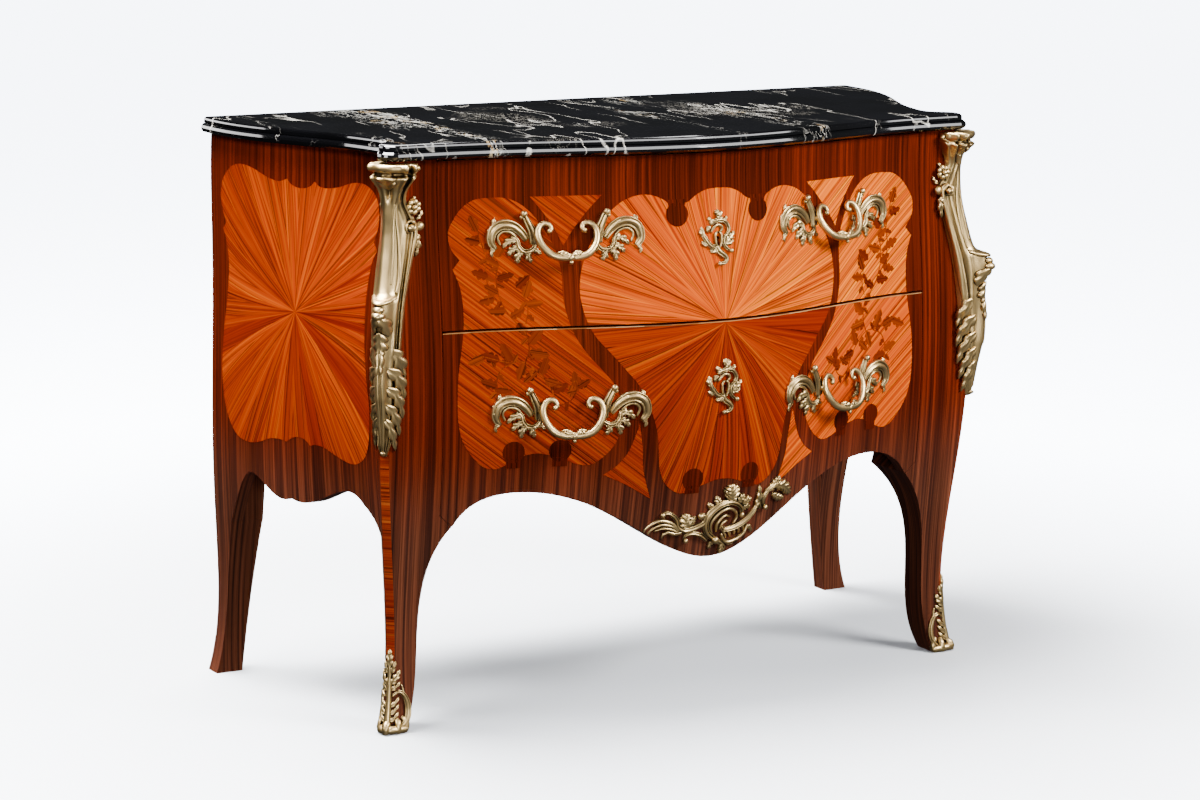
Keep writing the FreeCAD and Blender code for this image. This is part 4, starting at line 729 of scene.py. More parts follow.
half_outer = [
    [(346, 787), (371, 784), (391, 771), (408, 747), (411, 731), (407, 714), (394.5, 698)],
    [(394.5, 698), (406, 685)],
    [(406, 685), (400, 671), (395, 655), (392.5, 632), (392.5, 605), (395, 580), (399, 555), (403, 525),
     (404, 495), (403, 465), (398, 440), (389, 421), (375, 403), (360, 391), (343, 388), (327, 394)],
    [(327, 394), (318, 402), (303, 406)],
    [(303, 406), (285, 409), (267, 406)],
    [(267, 406), (250, 402), (240, 396)],
    [(240, 396), (225, 390.5), (210, 388), (199, 391), (184, 402), (171, 418), (164, 434), (161, 452),
     (163, 478), (171, 504), (188, 527), (209, 551), (226, 576), (236, 600), (242, 623), (244.5, 645),
     (244.5, 670), (247, 690), (253, 712), (263, 732), (276, 752), (290, 768), (307, 780), (325, 786),
     (346, 787)],
]
top_triangle = [[(180, 786.5), (286, 786.5)], [(286, 786.5), (268, 764), (252, 740), (240, 714)],
                [(240, 714), (226, 735), (204, 762), (180, 786.5)]]
low_triangle = [[(135, 447), (142, 426), (151, 404), (166, 385), (185, 372)],
                [(185, 372), (150, 355), (111, 331)],
                [(111, 331), (119, 354), (126, 380), (129, 412), (135, 447)]]
for shape, part in ((half_outer, "both"), (top_triangle, "upper"), (low_triangle, "lower")):
    for hand in (1, -1):
        ring = closed_outline(shape)
        ring = [(x + 1, z) for x, z in ring] if hand > 0 else mirror(ring)
        grain = hand * SLANT
        # Painted light on the right sheets and painted shade on the left ones; the lower halves get more
        # painted shade.
        tone = RIGHT_PAINTED_LIGHT if hand > 0 else LEFT_PAINTED_SHADE
        if part != "lower":
            upper_light.add(keep_side(ring, SPLIT[0], True), grain, tone)
        if part != "upper":
            lower_light.add(keep_side(ring, SPLIT[1], False), grain, LOWER_PAINTED_SHADE_SHARE * tone)
upper_light.lay("upper_front_tulipwood", "upper_drawer", sunburst_wood, on_front, VENEER_LIFT)
lower_light.lay("lower_front_tulipwood", "lower_drawer", sunburst_wood, on_front, VENEER_LIFT)

# %% [markdown]
# Dark bosses bite into the light panels. They could be notches in the light sheets. Separate rounds of dark
# veneer on short necks, laid a hair above, look the same and keep the outlines simple.

# %% Bosses
def disc(x, z, radius, count=28):
    """A round outline."""
    turns = [2 * math.pi * i / count for i in range(count)]
    return [(x + radius * math.cos(turn), z + radius * math.sin(turn)) for turn in turns]


upper_dark, lower_dark = Sheets(21), Sheets(22)
NECK_TONE = 0.6
BOSSES = [
    # sheets, middle, distance from it, height, radius and tone; half width and height of both neck ends
    (upper_dark, MIDDLE_X, 71.5, 754, 18, 0.6, (13, 764), (15, 776)),
    (lower_dark, MIDDLE_X, 50.75, 356, 17.5, 0.6, (12, 334), (11, 346)),
    (lower_dark, 0.0, 318, 412, 16.5, 0.6, (11, 388), (11, 402)),
    (lower_dark, 0.0, 250, 412, 16.5, 0.35, (11, 388), (11, 402)),
]
for hand in (1, -1):
    for sheets, middle, distance, z, radius, tone, (low, low_z), (high, high_z) in BOSSES:
        x = middle + hand * distance
        sheets.add(disc(x, z, radius), 90, tone)
        neck = [(x - low, low_z), (x + low, low_z), (x + high, high_z), (x - high, high_z)]
        sheets.add(neck, 90, NECK_TONE)
upper_dark.lay("upper_front_bosses", "upper_drawer", strap_wood, on_front, BOSS_LIFT)
lower_dark.lay("lower_front_bosses", "lower_drawer", strap_wood, on_front, BOSS_LIFT)

# %% [markdown]
# A thin pale edging runs along the top edge of the lower front. Its paleness is partly wear by the hand and
# partly a painted highlight along that edge. It could be a line in the veneer's colour, but a strip of its
# own carries the pale colour with a grain of its own. It is laid in short lengths, so that it follows the
# bow.

# %% Edging
# The pale strip stands partly for wear and partly for a painted highlight on the edge.
edge_wear_and_highlight = tulipwood(
    "edging_wear_and_painted_highlight", [(0.30, "#8A5A2C"), (0.50, "#B48450"), (0.70, "#D0A878")], "#C8A890")
EDGING_LENGTH, EDGING_FOOT = 42.5, 592.4
edging = Sheets(61)
for k in range(-10, 10):
    left, right = EDGING_LENGTH * k, EDGING_LENGTH * (k + 1)
    edging.add([(left, EDGING_FOOT), (right, EDGING_FOOT), (right, SPLIT[1]), (left, SPLIT[1])], 0)
edging.lay("lower_front_edging", "lower_drawer", edge_wear_and_highlight, on_front, BOSS_LIFT)

# %% [markdown]
# Sprays of leaves and small flowers lie in the slanted panels, cut from stained fruitwood only a little
# darker than the ground. A leaf is a pointed, lobed outline, a stem a narrow ribbon along a curve. The
# spray is drawn for the right panel and mirrored for the left. It could be a pattern in the material, but
# cut pieces keep a crisp edge and a grain of their own.

# %% Floral marquetry
def leaf_outline(x, z, length, turn, lobes=2):
    """A lobed leaf from its foot at x, z; turn is its direction in degrees."""
    side = []
    for share in np.linspace(0, 1, 6 * lobes + 1):
        swell = math.sin(math.pi * share ** 0.8) ** 0.9
        tooth = 0.52 + 0.48 * abs(math.sin(math.pi * lobes * share)) ** 0.7
        side.append((share * length, 0.31 * length * swell * tooth))
    ring = side + [(u, -v) for u, v in reversed(side[1:-1])]
    c, s = math.cos(math.radians(turn)), math.sin(math.radians(turn))
    return [(x + u * c - v * s, z + u * s + v * c) for u, v in ring]


def ribbon(points, width):
    """A narrow ribbon along a curve."""
    line = np.array(smooth_run(points, 6))
    way = np.gradient(line, axis=0)
    across_way = np.stack([-way[:, 1], way[:, 0]], 1) / np.linalg.norm(way, axis=1)[:, None] * width / 2
    return [tuple(p) for p in line + across_way] + [tuple(p) for p in (line - across_way)[::-1]]


STEM_WIDTH, LEAF_SCALE, SMALL_LEAF, SMALL_TURN = 1.7, 1.15, 14, 55
STEMS = [
    [(335, 692), (341, 670), (338, 645), (327, 620), (312, 602)],
    [(352, 706), (356, 680), (352, 655), (340, 636)], [(300, 640), (296, 622), (300, 602)],
    [(366, 740), (360, 720), (354, 700)], [(362, 556), (330, 547), (302, 545), (274, 520), (256, 484)],
    [(318, 546), (338, 536), (346, 512), (343, 486)], [(226, 508), (236, 488), (252, 480)],
    [(300, 590), (296, 566), (302, 546)],
]
LEAVES = [
    (366, 738, 24, 65), (362, 722, 22, 15), (356, 712, 22, 140), (340, 700, 24, 120), (336, 688, 20, 30),
    (352, 672, 24, 20), (340, 668, 24, 165), (338, 648, 22, 30), (312, 655, 24, 140), (300, 640, 24, 110),
    (298, 630, 22, 175), (328, 622, 24, 0), (322, 612, 22, 150), (344, 640, 22, 350), (312, 604, 20, 240),
    (296, 572, 28, 130), (298, 560, 28, 190), (322, 548, 28, 60), (340, 550, 26, 20), (362, 556, 24, 340),
    (280, 526, 26, 110), (274, 518, 24, 200), (262, 500, 22, 150), (238, 492, 24, 110), (228, 506, 22, 80),
    (228, 506, 20, 150), (343, 512, 24, 20), (346, 506, 24, 190), (343, 490, 26, 260), (304, 545, 24, 290),
    (286, 532, 22, 320),
]
upper_spray, lower_spray = Sheets(41), Sheets(42)
for hand in (1, -1):
    rings = [(ribbon(points, STEM_WIDTH), 90) for points in STEMS]
    rings += [(leaf_outline(x, z, LEAF_SCALE * length, turn, 3), turn) for x, z, length, turn in LEAVES]
    for stem in STEMS:
        line = smooth_run(stem, 3)
        for k in range(1, len(line) - 1, 3):
            way = math.degrees(math.atan2(line[k + 1][1] - line[k][1], line[k + 1][0] - line[k][0]))
            turn = way + (SMALL_TURN if k % 2 else -SMALL_TURN)
            rings.append((leaf_outline(*line[k], SMALL_LEAF, turn, 2), turn))
    for ring, grain in rings:
        ring = ring if hand > 0 else mirror(ring)
        grain = grain if hand > 0 else 180 - grain
        upper_spray.add(keep_side(ring, SPLIT[0], True), grain)
        lower_spray.add(keep_side(ring, SPLIT[1], False), grain)
upper_spray.lay("upper_front_sprays", "upper_drawer", leaf_wood, on_front, SPRAY_LIFT)
lower_spray.lay("lower_front_sprays", "lower_drawer", leaf_wood, on_front, SPRAY_LIFT)

# %% [markdown]
# Each side panel has its own sunburst of wedges in a cartouche with small points at top and bottom. It could
# be drawn apart, but the function that cuts the middle one cuts these too, so all three look like the work of
# one hand. Wedges above the middle are painted a little paler, as painted light.

# %% Side sunbursts
side_runs = [
    [(36, 756), (40.6, 775), (51.5, 789), (67, 801), (83, 806.5), (100, 807.5), (119, 804), (137, 797.5),
     (153, 792), (170, 789), (185, 794)],
    [(185, 794), (192, 786.6), (203, 782.5), (215, 782.5), (225, 786.6), (232, 794)],
    [(232, 794), (241, 787), (256, 786), (275, 790), (291, 796), (306, 799), (322, 798), (337.5, 790.6),
     (348, 780), (355, 762), (357, 745), (353, 728), (349, 716)],
    [(349, 716), (359, 705)],
    [(359, 705), (350, 688), (344.5, 655), (343.5, 623), (345, 592), (349, 554), (356, 515), (363, 481),
     (365, 454), (361.5, 424), (352, 400), (336, 386), (319, 381), (300, 383.5), (281, 390), (262, 397.5),
     (246, 399), (236.5, 396)],
    [(236.5, 396), (227, 404), (213.5, 406.5), (202, 403), (192, 396)],
    [(192, 396), (177, 398), (158, 396), (135, 387), (111.5, 383), (88.5, 386.5), (69, 399), (51, 424),
     (40, 458), (36.5, 492), (38.5, 523), (42, 550), (49.5, 585), (54.6, 615), (57, 646), (54.5, 673),
     (48, 692), (41.5, 704)],
    [(41.5, 704), (51, 713.5)],
    [(51, 713.5), (46, 723), (38.5, 738.5), (36, 756)],
]
SIDE_MIDDLE, SIDE_WEDGES = (206, 596), 40
# The second value is painted light, added to the tone of wedges that point upward.
SIDE_SPREAD, SIDE_PAINTED_LIGHT = 0.36, 0.12
side_ring = closed_outline(side_runs)
for hand, side in ((1, "right"), (-1, "left")):
    sheets = Sheets(30 + hand)
    for ring, grain in wedges(side_ring, SIDE_MIDDLE, SIDE_WEDGES, 8):
        tone = SIDE_SPREAD * sheets.dice.random()
        # Upward wedges get painted light: a paler tone.
        sheets.add(ring, grain, tone + (SIDE_PAINTED_LIGHT if math.sin(math.radians(grain)) > 0 else 0.0))
    sheets.lay(f"{side}_side_tulipwood", "carcass", sunburst_wood,
               lambda s, z, lift, hand=hand: on_side(s, z, lift, hand), VENEER_LIFT)

# %% [markdown]
# Portoro marble: black limestone with broken white and ochre veins, sawn and polished to a mirror. The
# veins stand like thin sheets across the slab, gathered in bands about 100 mm apart with clear black
# between, so they run back over the top and show as upright cracks on the edge. There are more of them
# towards both ends of the slab. A cell pattern would give closed patches. A vein is drawn where a stretched
# noise crosses a narrow band, which gives open, broken lines; broad ones are 4 to 8 mm wide, fine ones 1 to
# 3 mm.

# %% Marble
WARP_SIZE, OCHRE_SIZE = 111.11, 41.667  # millimetres
WARP_PUSH = 0.03  # metres
END_FROM, END_TO, END_LESS, END_MORE = 0.15, 0.5, -0.02, 0.035  # metres from the middle; share of veins
BAND_SIZE, CLOUD_SIZE = (111.11, 833.33, 500.0), (294.12, 294.12, 294.12)
BROAD_SIZE, FINE_SIZE = (33.333, 142.86, 76.923), (15.625, 71.429, 45.455)
FLECK_SIZE, CRACK_SIZE = (10.526, 20.833, 16.667), (66.667, 277.78, 200.0)
marble, tree, shader = new_material("portoro_marble_polished")
where = node(tree, "TexCoord").outputs["Object"]
warp = node(tree, "TexNoise", {"Vector": where, "Scale": per_metre(WARP_SIZE)[0], "Detail": 3.0})
push = node(tree, "VectorMath", {0: warp.outputs["Color"], 1: (WARP_PUSH,) * 3}, operation="MULTIPLY")
bent = node(tree, "VectorMath", {0: where, 1: push.outputs[0]}, operation="ADD").outputs[0]


def field(size, seed, detail):
    """A noise whose features have this size in millimetres each way."""
    place = node(tree, "VectorMath", {0: bent, 1: per_metre(*size)}, operation="MULTIPLY").outputs[0]
    moved = node(tree, "VectorMath", {0: place, 1: (seed, 2 * seed, 3 * seed)}, operation="ADD").outputs[0]
    settings = {"Vector": moved, "Scale": 1.0, "Detail": detail, "Roughness": 0.6}
    return node(tree, "TexNoise", settings).outputs["Fac"]


def vein(size, band, seed, gathered, detail):
    """Lines where a noise crosses its middle, kept where the gathering field is high."""
    line = node(tree, "ValToRGB", {"Fac": field(size, seed, detail)},
                stops=[(0.5 - band, 0.0), (0.5 - band / 3, 1.0), (0.5 + band / 3, 1.0), (0.5 + band, 0.0)])
    source, low, high = gathered
    mask = node(tree, "ValToRGB", {"Fac": source}, stops=[(low, 0.0), (high, 1.0)])
    both = {0: line.outputs["Color"], 1: mask.outputs["Color"]}
    return node(tree, "Math", both, operation="MULTIPLY").outputs[0]


sideways = node(tree, "SeparateXYZ", {0: where}).outputs[0]
from_middle = node(tree, "Math", {0: sideways}, operation="ABSOLUTE")
ends = node(tree, "MapRange",
            {0: from_middle.outputs[0], 1: END_FROM, 2: END_TO, 3: END_LESS, 4: END_MORE}).outputs[0]
bands = node(tree, "Math", {0: field(BAND_SIZE, 7.7, 2.0), 1: ends}, operation="ADD").outputs[0]
clouds = field(CLOUD_SIZE, 2.2, 2.0)
broad_vein = vein(BROAD_SIZE, 0.018, 1.7, (bands, 0.59, 0.65), 3.0)
fine_vein = vein(FINE_SIZE, 0.014, 5.1, (bands, 0.56, 0.63), 3.0)
fleck = vein(FLECK_SIZE, 0.020, 9.3, (clouds, 0.58, 0.68), 2.0)
crack = vein(CRACK_SIZE, 0.006, 3.9, (clouds, 0.46, 0.52), 2.0)
black = node(tree, "ValToRGB", {"Fac": warp.outputs["Fac"]}, stops=[(0.35, "#010101"), (0.65, "#030304")])
ochre = node(tree, "TexNoise", {"Vector": where, "Scale": per_metre(OCHRE_SIZE)[0], "Detail": 2.0})
stone = node(tree, "ValToRGB", {"Fac": ochre.outputs["Fac"]},
             stops=[(0.44, "#A8A6A0"), (0.56, "#9C8660"), (0.68, "#7A5630")])
mix = node(tree, "Mix", {0: broad_vein, 6: black.outputs["Color"], 7: stone.outputs["Color"]},
           data_type="RGBA")
for line, colour in ((fine_vein, "#96938C"), (fleck, "#6E6A62"), (crack, "#A09C94")):
    mix = node(tree, "Mix", {0: line, 6: mix.outputs[2], 7: linear(colour)}, data_type="RGBA")
tree.links.new(mix.outputs[2], shader.inputs["Base Color"])
shader.inputs["Roughness"].default_value = 0.07
shader.inputs["IOR"].default_value = 1.5
print("marble:", marble.name)

# %% [markdown]
# Gilt bronze: cast brass-coloured metal, chased and once gilded, now worn to a pale champagne gold
# with dark grime in the hollows. The hollows are darkened partly as grime and partly as painted shade: the
# darkening follows how enclosed a spot is, so it finds the grooves by itself. Grime could be painted on by
# hand instead. Wear lies in clouds of about 17 mm. Chasing marks are finer than 1 mm and are drawn as 1.1 mm
# so that they show.

# %% Gilt bronze and lock brass
WEAR_SIZE, CHASING_SIZE = 16.667, 1.1111  # millimetres


def old_metal(name, bright, worn, grime_and_shade, rough, reach):
    """A worn metal, darker in its hollows with grime and painted shade; reach is how far that darkening looks
    for neighbours, in metres.
    """
    material, tree, shader = new_material(name)
    where = node(tree, "TexCoord").outputs["Object"]
    cloud = node(tree, "TexNoise", {"Vector": where, "Scale": per_metre(WEAR_SIZE)[0], "Detail": 4.0})
    tint = node(tree, "Mix", {0: cloud.outputs["Fac"], 6: linear(bright), 7: linear(worn)},
                data_type="RGBA")
    # Hollows are darkened by how enclosed they are: partly grime, partly painted shade.
    hollow_grime_and_shade = node(tree, "AmbientOcclusion", {"Distance": reach}, samples=8, only_local=True)
    mask = node(tree, "ValToRGB", {"Fac": hollow_grime_and_shade.outputs["AO"]}, stops=[(0.35, 1.0), (0.85, 0.0)])
    final = node(tree, "Mix", {0: mask.outputs["Color"], 6: tint.outputs[2], 7: linear(grime_and_shade)},
                 data_type="RGBA")
    tree.links.new(final.outputs[2], shader.inputs["Base Color"])
    shader.inputs["Metallic"].default_value = 1.0
    matt = node(tree, "MapRange", {0: cloud.outputs["Fac"], 1: 0.3, 2: 0.7, 3: rough, 4: rough + 0.14})
    tree.links.new(matt.outputs[0], shader.inputs["Roughness"])
    chased = node(tree, "TexNoise", {"Vector": where, "Scale": per_metre(CHASING_SIZE)[0], "Detail": 2.0})
    dent = node(tree, "Bump", {"Height": chased.outputs["Fac"], "Strength": 0.15, "Distance": 0.0004})
    tree.links.new(dent.outputs["Normal"], shader.inputs["Normal"])
    return material


bronze = old_metal("gilt_bronze_worn", "#E4C488", "#BC9C66", "#3C311E", 0.30, 0.014)
brass = old_metal("brass_brushed", "#C9A75E", "#A98846", "#4A3A1C", 0.35, 0.006)
print("metals:", bronze.name, brass.name)

# %% [markdown]
# The bronzes were modelled in wax as swelling strokes and leaves, then cast and chased. They are built
# the same way here: a stroke sweeps a grooved section along a curve, a leaf spreads lobes from a
# midrib, a bead is a small ball. All are drawn in millimetres on the flattened surface, with a lift
# for their height, and bent onto the wood by the same functions as the veneers. Sculpting would look freer,
# but strokes can be placed by measure and mirrored.

# %% Sections and spines
ROUND = [(-1, 0.0), (-0.94, 0.42), (-0.74, 0.74), (-0.40, 0.94), (0, 1.0), (0.40, 0.94), (0.74, 0.74),
         (0.94, 0.42), (1, 0.0)]
GROOVED = [(-1, 0.0), (-0.96, 0.5), (-0.80, 0.78), (-0.62, 0.74), (-0.50, 0.46), (-0.34, 0.52),
           (-0.12, 0.92), (0.20, 1.0), (0.46, 0.88), (0.58, 0.50), (0.72, 0.52), (0.84, 0.72), (0.96, 0.46),
           (1, 0.0)]


def evenly(spine, count):
    """Points spread evenly along the smooth curve through a spine, with their directions."""
    line = np.array(smooth_run(spine, 8))
    steps = np.concatenate([[0], np.cumsum(np.linalg.norm(np.diff(line, axis=0), axis=1))])
    where = np.linspace(0, steps[-1], count)
    points = np.stack([np.interp(where, steps, line[:, k]) for k in range(line.shape[1])], 1)
    ways = np.gradient(points, axis=0)
    return points, ways / np.linalg.norm(ways, axis=1)[:, None], steps[-1]


def along(values, share):
    """A value part of the way along an evenly spread list."""
    return float(np.interp(share, np.linspace(0, 1, len(values)), values))


print("points of the sections:", len(ROUND), len(GROOVED))

# %% [markdown]
# A casting gathers its strokes, leaves and beads in one mesh. Each could be an object of its own, but poured
# as one piece of metal they shade each other, and the grime and painted shade in the hollows see their
# neighbours. The casting then stands for the plainer solid of the frame.

# %% Castings
class Casting:
    """Metal on a surface, which takes two flat coordinates and a lift, all in millimetres."""

    FOOT, BACK = 0.25, 0.2  # how far the skin's edge and its hidden back stand off the surface

    def __init__(self, surface):
        self.surface, self.points, self.faces = surface, [], []

    def skin(self, rows):
        """Closes rows of points into a rounded bar with a cap at each end."""
        start, n = len(self.points), len(rows[0])
        for row in rows:
            self.points += row
        for i in range(len(rows) - 1):
            for j in range(n):
                k = (j + 1) % n
                a = start + i * n
                self.faces.append((a + j, a + k, a + n + k, a + n + j))
        self.faces.append(tuple(range(start + n - 1, start - 1, -1)))
        last = start + (len(rows) - 1) * n
        self.faces.append(tuple(range(last, last + n)))

    def stroke(self, spine, width, height, section=ROUND, rise=(0, 0), pitch=2.2):
        """A swelling stroke; width, height and rise are lists of values from its start to its end."""
        length = evenly(spine, 9)[2]
        points, ways, _ = evenly(spine, max(8, int(length / pitch)))
        rows = []
        for i, (point, way) in enumerate(zip(points, ways)):
            share = i / (len(points) - 1)
            half, tall, up = along(width, share) / 2, along(height, share), along(rise, share)
            side = np.array((-way[1], way[0]))
            row = [self.surface(*(point + side * half * a), up + self.FOOT + tall * b) for a, b in section]
            row += [self.surface(*(point + side * half * a), up + self.BACK) for a in (0.7, 0.0, -0.7)]
            rows.append(row)
        self.skin(rows)

    def leaf(self, spine, width, height, lobes=4, rise=(0, 0)):
        """A lobed leaf along a midrib, widest below its middle, with a groove and ribs."""
        count = lobes * 6 + 1
        points, ways, _ = evenly(spine, count)
        rows = []
        for i, (point, way) in enumerate(zip(points, ways)):
            share = i / (count - 1)
            swell = math.sin(math.pi * (0.10 + 0.88 * share) ** 0.8) ** 0.8
            tooth = abs(math.sin(math.pi * lobes * share)) ** 0.6
            half = width / 2 * swell * (0.60 + 0.40 * tooth)
            side = np.array((-way[1], way[0]))
            up = along(rise, share)
            row = []
            for a in np.linspace(-1, 1, 11):
                lean = 0.55 * half * abs(a) ** 1.5
                ribs = 0.26 * abs(a) * math.cos(2 * math.pi * lobes * share - 2.4 * abs(a) - 1.2)
                groove = 0.26 * math.exp(-(a / 0.14) ** 2)
                tall = (0.35 + 0.65 * swell) * (0.42 + 0.46 * (1 - a * a) + ribs - groove)
                edge = 0.0 if abs(a) > 0.99 else max(tall, 0.12)
                row.append(self.surface(*(point + side * half * a + way * lean),
                                        up + self.FOOT + height * edge))
            row += [self.surface(*(point + side * half * a), up + self.BACK) for a in (0.6, 0.0, -0.6)]
            rows.append(row)
        self.skin(rows)

    def bead(self, u, v, radius, lift=0.0, tall=1.0, sides=12):
        """A small ball that rests on the surface, or at a lift above it."""
        rows = []
        for polar in np.linspace(0.2, math.pi - 0.2, 8):
            ring = radius * math.sin(polar)
            up = lift + radius * tall * (1 + math.cos(polar)) + self.BACK
            rows.append([self.surface(u + ring * math.cos(t), v + ring * math.sin(t), up)
                         for t in np.arange(sides) * 2 * math.pi / sides])
        self.skin(rows)

    def rosette(self, u, v, radius, lift=0.0, petals=6):
        """A little flower: petals round a bead."""
        for k in range(petals):
            t = 2 * math.pi * k / petals
            x, y = u + 0.62 * radius * math.cos(t), v + 0.62 * radius * math.sin(t)
            self.bead(x, y, radius * 0.42, lift, 0.8, 8)
        self.bead(u, v, radius * 0.34, lift + radius * 0.45, 0.8, 8)

    def tube(self, path, radius, sides=14, groove=0.0):
        """A round bar through free points given as flat coordinates and lift."""
        spine, _, length = evenly(path, 9)
        spine, _, _ = evenly(path, max(12, int(length / 2.0)))
        line = [self.surface(*p) for p in spine]
        rows, side = [], None
        for i, here in enumerate(line):
            way = (line[min(i + 1, len(line) - 1)] - line[max(i - 1, 0)]).normalized()
            side = way.orthogonal() if side is None else side
            side = (side - way * side.dot(way)).normalized()
            other = way.cross(side)
            r = along(radius, i / (len(line) - 1)) / 1000
            row = []
            for t in np.arange(sides) * 2 * math.pi / sides:
                spoke = side * math.cos(t) + other * math.sin(t)
                row.append(here + spoke * r * (1 - groove * math.cos(4 * t) ** 2))
            rows.append(row)
        self.skin(rows)

    def pour(self, name, body, solid, flip=False):
        """Makes the mesh and lets it stand for a solid of the frame."""
        points = [(-p.x, p.y, p.z) if flip else tuple(p) for p in self.points]
        made = mesh_object(name, points, self.faces, bronze)
        edit = bmesh.new()
        edit.from_mesh(made.data)
        bmesh.ops.recalc_face_normals(edit, faces=edit.faces)
        edit.to_mesh(made.data)
        edit.free()
        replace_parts(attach(made, body), solid)
        print(f"{name}: {len(self.faces)} faces")
        return made


print("back of a stroke:", Casting.BACK, "mm off its surface")

# %% [markdown]
# A handle has two leafy plates and a bow between them. The plate is a C-scroll with a small flame at
# its outer end, an upright finial, a ring with a ruffle of leaves below it. The bow rises out of the
# plate, curls in at the top and swells to a leafy knop in the middle. One side is drawn and mirrored. The bow
# leaves the wood, so it is a round bar through free points and not a stroke on the surface.

# %% Handles
HANDLE_X, HANDLE_Z = 236, {"upper": 727, "lower": 470}


def front_patch(x, z):
    """The front round one place, as a surface for a casting."""
    return lambda u, v, lift: on_front((x + u) / 1000, (z + v) / 1000, lift / 1000)


def handed(hand):
    """A function that mirrors points to the left where hand is -1."""
    return lambda points: [(hand * p[0], *p[1:]) for p in points]


def handle(x, z):
    """The casting of one right-hand handle round a place on the front."""
    cast = Casting(front_patch(x, z))
    for hand in (-1, 1):
        flip = handed(hand)
        cast.stroke(flip([(104, -16), (111, -4), (107, 12), (94, 20), (78, 18), (66, 9), (57, -3)]),
                    [8, 14, 16, 16, 14, 10], [4, 7, 9, 9, 8, 5], GROOVED)
        cast.stroke(flip([(96, -10), (100, 2), (92, 10), (80, 8), (72, 0)]), [3, 5, 5, 4], [2, 4, 5, 4])
        cast.stroke(flip([(46, -9), (49, 8), (55, 22), (60, 33)]), [14, 13, 11, 9], [7, 9, 10, 9], GROOVED)
        cast.bead(hand * 61, 35, 5.2, 2.0)
        cast.bead(hand * 64, 30, 3.2, 1.0)
        cast.stroke(flip([(79, 3), (72, -3), (70, -12), (64, -19), (54, -20), (46, -14), (46, -7)]),
                    [4, 7, 8, 8, 7, 6], [4, 6, 7, 7, 7, 5], GROOVED)
        cast.leaf(flip([(70, -4), (80, -3), (88, -8), (93, -14)]), 13, 6, 3)
        cast.leaf(flip([(69, -12), (79, -17), (86, -25)]), 13, 6, 3)
        cast.leaf(flip([(64, -17), (71, -26), (72, -37)]), 14, 6, 3)
        cast.leaf(flip([(56, -18), (56, -27), (51, -36)]), 13, 6, 3)
        cast.leaf(flip([(48, -14), (42, -20), (36, -24)]), 9, 5, 2)
        cast.leaf(flip([(108, -4), (113, 6), (112, 17)]), 9, 5, 2)
        cast.leaf(flip([(103, 12), (106, 21), (103, 30)]), 9, 5, 2)
        cast.leaf(flip([(104, -12), (110, -20), (108, -27)]), 8, 4, 2)
        lug = [(hand * 46, 2, 0.4), (hand * 45, 3, 6.0), (hand * 44, 3, 13.0)]
        cast.tube(lug, [6.5, 5.0, 4.4], 12)
        arm = [(0, -30), (14, -29.5), (27, -25), (37, -15), (42.5, -3), (43, 8), (39, 16), (32, 20),
               (25, 18), (22.5, 12), (25.5, 8)]
        cast.tube([(hand * u, v, 14.5 - 0.38 * v) for u, v in arm],
                  [5.6, 5.6, 5.8, 5.7, 5.5, 5.2, 4.8, 4.2, 3.4], 16, 0.16)
        cast.bead(hand * 25.5, 9, 4.0, 7.5)
        cast.leaf([(0, -30), (hand * 8, -27), (hand * 17, -27)], 13, 5, 2, (27, 26))
        cast.stroke([(hand * 2, -27), (hand * 10, -22), (hand * 18, -23)], [5, 6, 3], [3, 4, 2],
                    rise=(26, 24))
    cast.bead(0, -30, 6.2, 20.5, 0.95)
    cast.bead(0, -37, 3.2, 24.0)
    return cast


for level, z in HANDLE_Z.items():
    for hand, side in ((1, "right"), (-1, "left")):
        cast = handle(HANDLE_X, z)
        cast.pour(f"{level}_{side}_handle_bronze", f"{level}_drawer", f"{level}_{side}_handle", hand < 0)

# %% [markdown]
# The escutcheon frames the keyhole: a narrow shield with a raised rim, a shell crest above, a long
# scroll on each side and a tail that curls to the left at the bottom. Only its rim is the same on both
# sides, so the rest is written stroke by stroke round the middle of the keyhole.

